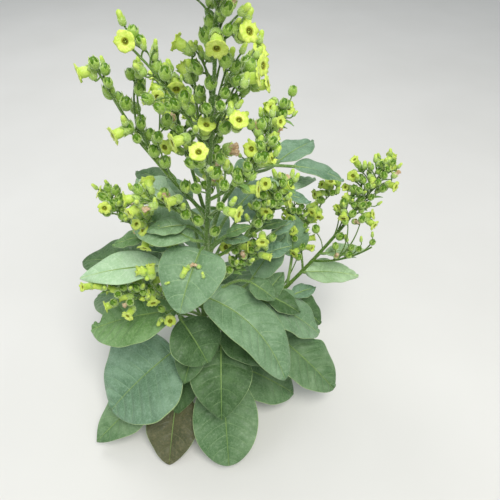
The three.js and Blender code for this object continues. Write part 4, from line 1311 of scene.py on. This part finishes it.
for name, distance, end, hung in SEEN_TWIGS:
    point, ahead = carrier(name, distance)
    line = leaning(point, ahead, spot(*end))
    axis = leaning(point, ahead, px(*end))
    twig(axis, *SEEN_TWIG)
    for kind, u, v, size in hung:
        middle, scale = beside(line.points, u, v, size, TWIG_FRONT)[1:]
        middle = np.round(middle)
        nearest = int(np.argmin([np.linalg.norm(p - middle) for p in axis.points]))
        share = max(0, nearest - 3) / TWIG_STEPS
        hang(axis.at("points", share), axis.at("ahead", share), middle, kind, scale)
    put("bud", axis.points[-1] - 1.5 * axis.ahead[-1], axis.ahead[-1], 0.8)
for name, kind, spots in SEEN_SINGLES:
    distances = np.arange(LOWEST, STEM_HEIGHT if name == "main_stem" else limbs[name][1], SAMPLE_STEP)
    points = np.array([carrier(name, distance)[0] for distance in distances])
    for u, v, size in spots:
        nearest, middle, scale = beside(points, u, v, size, STEM_FRONT)
        gap = np.linalg.norm(middle - points[nearest])
        distance = round(max(LOWEST, distances[nearest] - max(LEAST_RISE, RISE_SHARE * gap)))
        hang(*carrier(name, distance), np.round(middle), kind, scale)

# The ends of each mass's cymes
ends = {}
for mass, name, cymes in CYMES:
    for distance, end, seen in cymes:
        point, ahead = carrier(name, distance)
        grow_cyme(point, ahead, end, seen)
        ends.setdefault(mass, []).append(np.array(end, float))


def clear(mass, end, room):
    """Says whether a cyme's end is far enough from the others of its mass."""
    return all(np.linalg.norm(end - other) > room for other in ends.setdefault(mass, []))


# The masses that the photograph shows open, up to the height where it ends, and how far behind its stem a
# cyme's end has to be there
OPEN_MASSES = ("top", "upper", "upper_left", "high_left", "right_front")
SEEN_TOP = 700
BEHIND = 3

# Room between the ends of cymes, tries at each stem, the azimuth from one try to the next, the smallest
# share of the mass's radius that a cyme reaches, and for side stems and the main stem how far a cyme starts
# below its end and stays inside the mass
ROOM = 14
OPEN_ROOM = 19
TRIES = 34
STEM_TRIES = 44
GOLDEN_TURN = 137.5
LEAST_REACH = 0.75
SIDE_BELOW = 8
SIDE_INSET = 6
STEM_BELOW = 16
STEM_INSET = 5


def seeded(mass, point, ahead, end):
    """Grows a cyme where the photograph shows none, so not in front of the open masses."""
    in_view = mass in OPEN_MASSES and end[2] < SEEN_TOP
    in_front = end[1] < point[1] + BEHIND
    if in_view and in_front or not clear(mass, end, OPEN_ROOM if mass in OPEN_MASSES else ROOM):
        return
    ends[mass].append(end)
    grow_cyme(point, ahead, end, [], SPARSE_BLOOM if in_view else BLOOM)


for name, (curve, length, bare, radii, mass, width) in limbs.items():
    for k in range(TRIES):
        distance = bare + (length - bare) * (k + 0.5) / TRIES
        point, ahead = carrier(name, distance - SIDE_BELOW)
        along = (distance - bare) / (length - bare)
        swell = math.sqrt(max(0.15, 1 - (1.7 * along - 0.9) ** 2))
        reach = (width / 2 - SIDE_INSET) * swell * vary(LEAST_REACH, 1)
        out = direction(k * GOLDEN_TURN + vary(-25, 25), vary(5, 60))
        out = unit(out - 0.7 * ahead * float(out @ ahead) + 0.25 * ahead)
        seeded(mass, point, ahead, point + out * reach + ahead * 6)
    point, ahead = carrier(name, length)
    if clear(mass, point + 4 * ahead, ROOM):
        put("bud", point - ahead, ahead, 0.9)
for mass, middle, width, length in STEM_MASSES:
    for k in range(STEM_TRIES):
        along = (k + 0.5) / STEM_TRIES
        height = middle + length * (along - 0.5)
        point, ahead = carrier("main_stem", min(height - STEM_BELOW, STEM_HEIGHT - 6))
        swell = math.sqrt(max(0.1, 1 - (2 * along - 1) ** 2))
        reach = (width / 2 - STEM_INSET) * swell * vary(LEAST_REACH, 1)
        out = direction(k * GOLDEN_TURN + vary(-20, 20), vary(0, 30))
        seeded(mass, point, ahead, carrier("main_stem", height)[0] + out * reach)

# Fallen flowers and buds that lie on leaf_front_high: kind, place along the blade and out from the midrib,
# side, azimuth of the way they point, and scale
FALLEN = [
    ("opening", 0.44, 0.16, -1, 62, 0.72),
    ("withered", 0.3, 0.05, -1, 30, 0.66),
    ("withered", 0.27, 0.12, 1, 150, 0.6),
    ("bud", 0.37, 0.38, 1, 100, 0.56),
    ("bud", 0.62, 0.66, -1, 20, 0.46),
]
FALLEN_LIFT = 4.8
FALLEN_BACK = 9
for kind, along, out, side, azimuth, scale in FALLEN:
    rest, above = leaves["leaf_front_high"].surface(np.array([along]), np.array([out]), side)
    heading = direction(azimuth, 0)
    heading = unit(heading - above[0] * float(heading @ above[0]))
    put(kind, rest[0] + above[0] * FALLEN_LIFT * scale - heading * FALLEN_BACK * scale, heading, scale)

BRACT = skin("bract", (134, 168, 96), (112, 148, 76), (176, 200, 140), 60, 420, 0.55, 0.3, 0.4)
twigs.make("cyme_twigs", [TWIG], "stem", *["flower_mass_" + name for name in ends])
bracts.make("bract_leaves", [BRACT], "leaf")
heaps["open"].make("open_flowers", FLOWER_SKINS, "flowers")
heaps["opening"].make("opening_flowers", FLOWER_SKINS, "flowers")
heaps["capsule"].make("seed_capsules", CAPSULE_SKINS, "fruit")
heaps["bud"].make("flower_buds", FLOWER_SKINS, "flowers")
heaps["withered"].make("withered_flowers", FLOWER_SKINS, "flowers")


# Hairs: closed spikes that stand off the stems, stalks and twigs
hairs = Heap()
for curve, radii, density in hairy:
    length = np.linalg.norm(np.diff(curve.points, axis=0), axis=1).sum()
    count = int(length * density * HAIR_SHARE)
    share, angle = spread.random(count), spread.random(count) * 2 * np.pi
    radius = np.interp(share, curve.share, radii)[:, None]
    side, up = curve.at("side", share), curve.at("up", share)
    out = unit(side * np.cos(angle)[:, None] + up * np.sin(angle)[:, None])
    foot = curve.at("points", share) + out * (radius - 0.1)
    lean = unit(out + 0.35 * spread.standard_normal((count, 3)))
    lengths = SHORTEST_STEM_HAIR + 1.1 * spread.random(count)
    hairs.add(*spikes(foot, lean, curve.at("ahead", share), lengths), 0)
HAIR = skin("hairs", (246, 250, 232), (236, 244, 214), (252, 253, 246), 100, 500, 0.5, 0.1, 0.6)
hairs.make("stem_hairs", [HAIR], "stem")
organ_hairs.make("calyx_hairs", [HAIR], "stem")


# Stage: a pale floor, soft light and the camera
def lamp(name, place, aim, size, power, colour):
    """Adds a square soft light at a place in metres, turned to an aim."""
    light = bpy.data.lights.new(name, "AREA")
    light.size = size
    light.energy = power
    light.color = colour
    holder = bpy.data.objects.new(name, light)
    holder.location = place
    holder.rotation_euler = (Vector(aim) - Vector(place)).to_track_quat("-Z", "Y").to_euler()
    bpy.context.collection.objects.link(holder)


# The floor's side and middle, in metres
FLOOR_SIZE = 16
FLOOR_MIDDLE = (0, 4, 0)
SKY_STRENGTH = 0.52
bpy.ops.mesh.primitive_plane_add(size=FLOOR_SIZE)
floor = bpy.context.object
floor.name = "floor"
floor.location = FLOOR_MIDDLE
stone = bpy.data.materials.new("pale floor")
stone.use_nodes = True
tree = stone.node_tree
coordinates = node(tree, "ShaderNodeTexCoord").outputs["Object"]
shade = blend(tree, noise(tree, coordinates, 3.0), tone(214, 213, 208), tone(224, 223, 219))
tree.links.new(shade, tree.nodes["Principled BSDF"].inputs["Base Color"])
tree.nodes["Principled BSDF"].inputs["Roughness"].default_value = 0.9
floor.data.materials.append(stone)

bpy.context.scene.view_settings.view_transform = "Standard"
world = bpy.data.worlds.new("soft sky")
bpy.context.scene.world = world
world.use_nodes = True
world.node_tree.nodes["Background"].inputs["Color"].default_value = tone(236, 242, 248)
world.node_tree.nodes["Background"].inputs["Strength"].default_value = SKY_STRENGTH
lamp("soft key", (0.6, -1.0, 2.6), (0.05, 0, 0.3), 1.2, 56, (1, 0.98, 0.94))
lamp("soft fill", (-1.8, -0.6, 1.4), (0, 0, 0.3), 1.6, 8, (0.94, 0.97, 1))
lamp("soft back", (-0.9, 1.7, 2.3), (0.05, 0, 0.4), 1.4, 20, (1, 1, 1))

eye = bpy.data.cameras.new("camera")
eye.sensor_width = 36
eye.lens = eye.sensor_width * FOCAL / PICTURE
eye.clip_start = 0.02
camera = bpy.data.objects.new("camera", eye)
camera.location = [value * 0.001 for value in CAMERA_PLACE]
camera.rotation_euler = (math.radians(90 - CAMERA_PITCH), 0, 0)
bpy.context.collection.objects.link(camera)
bpy.context.scene.camera = camera
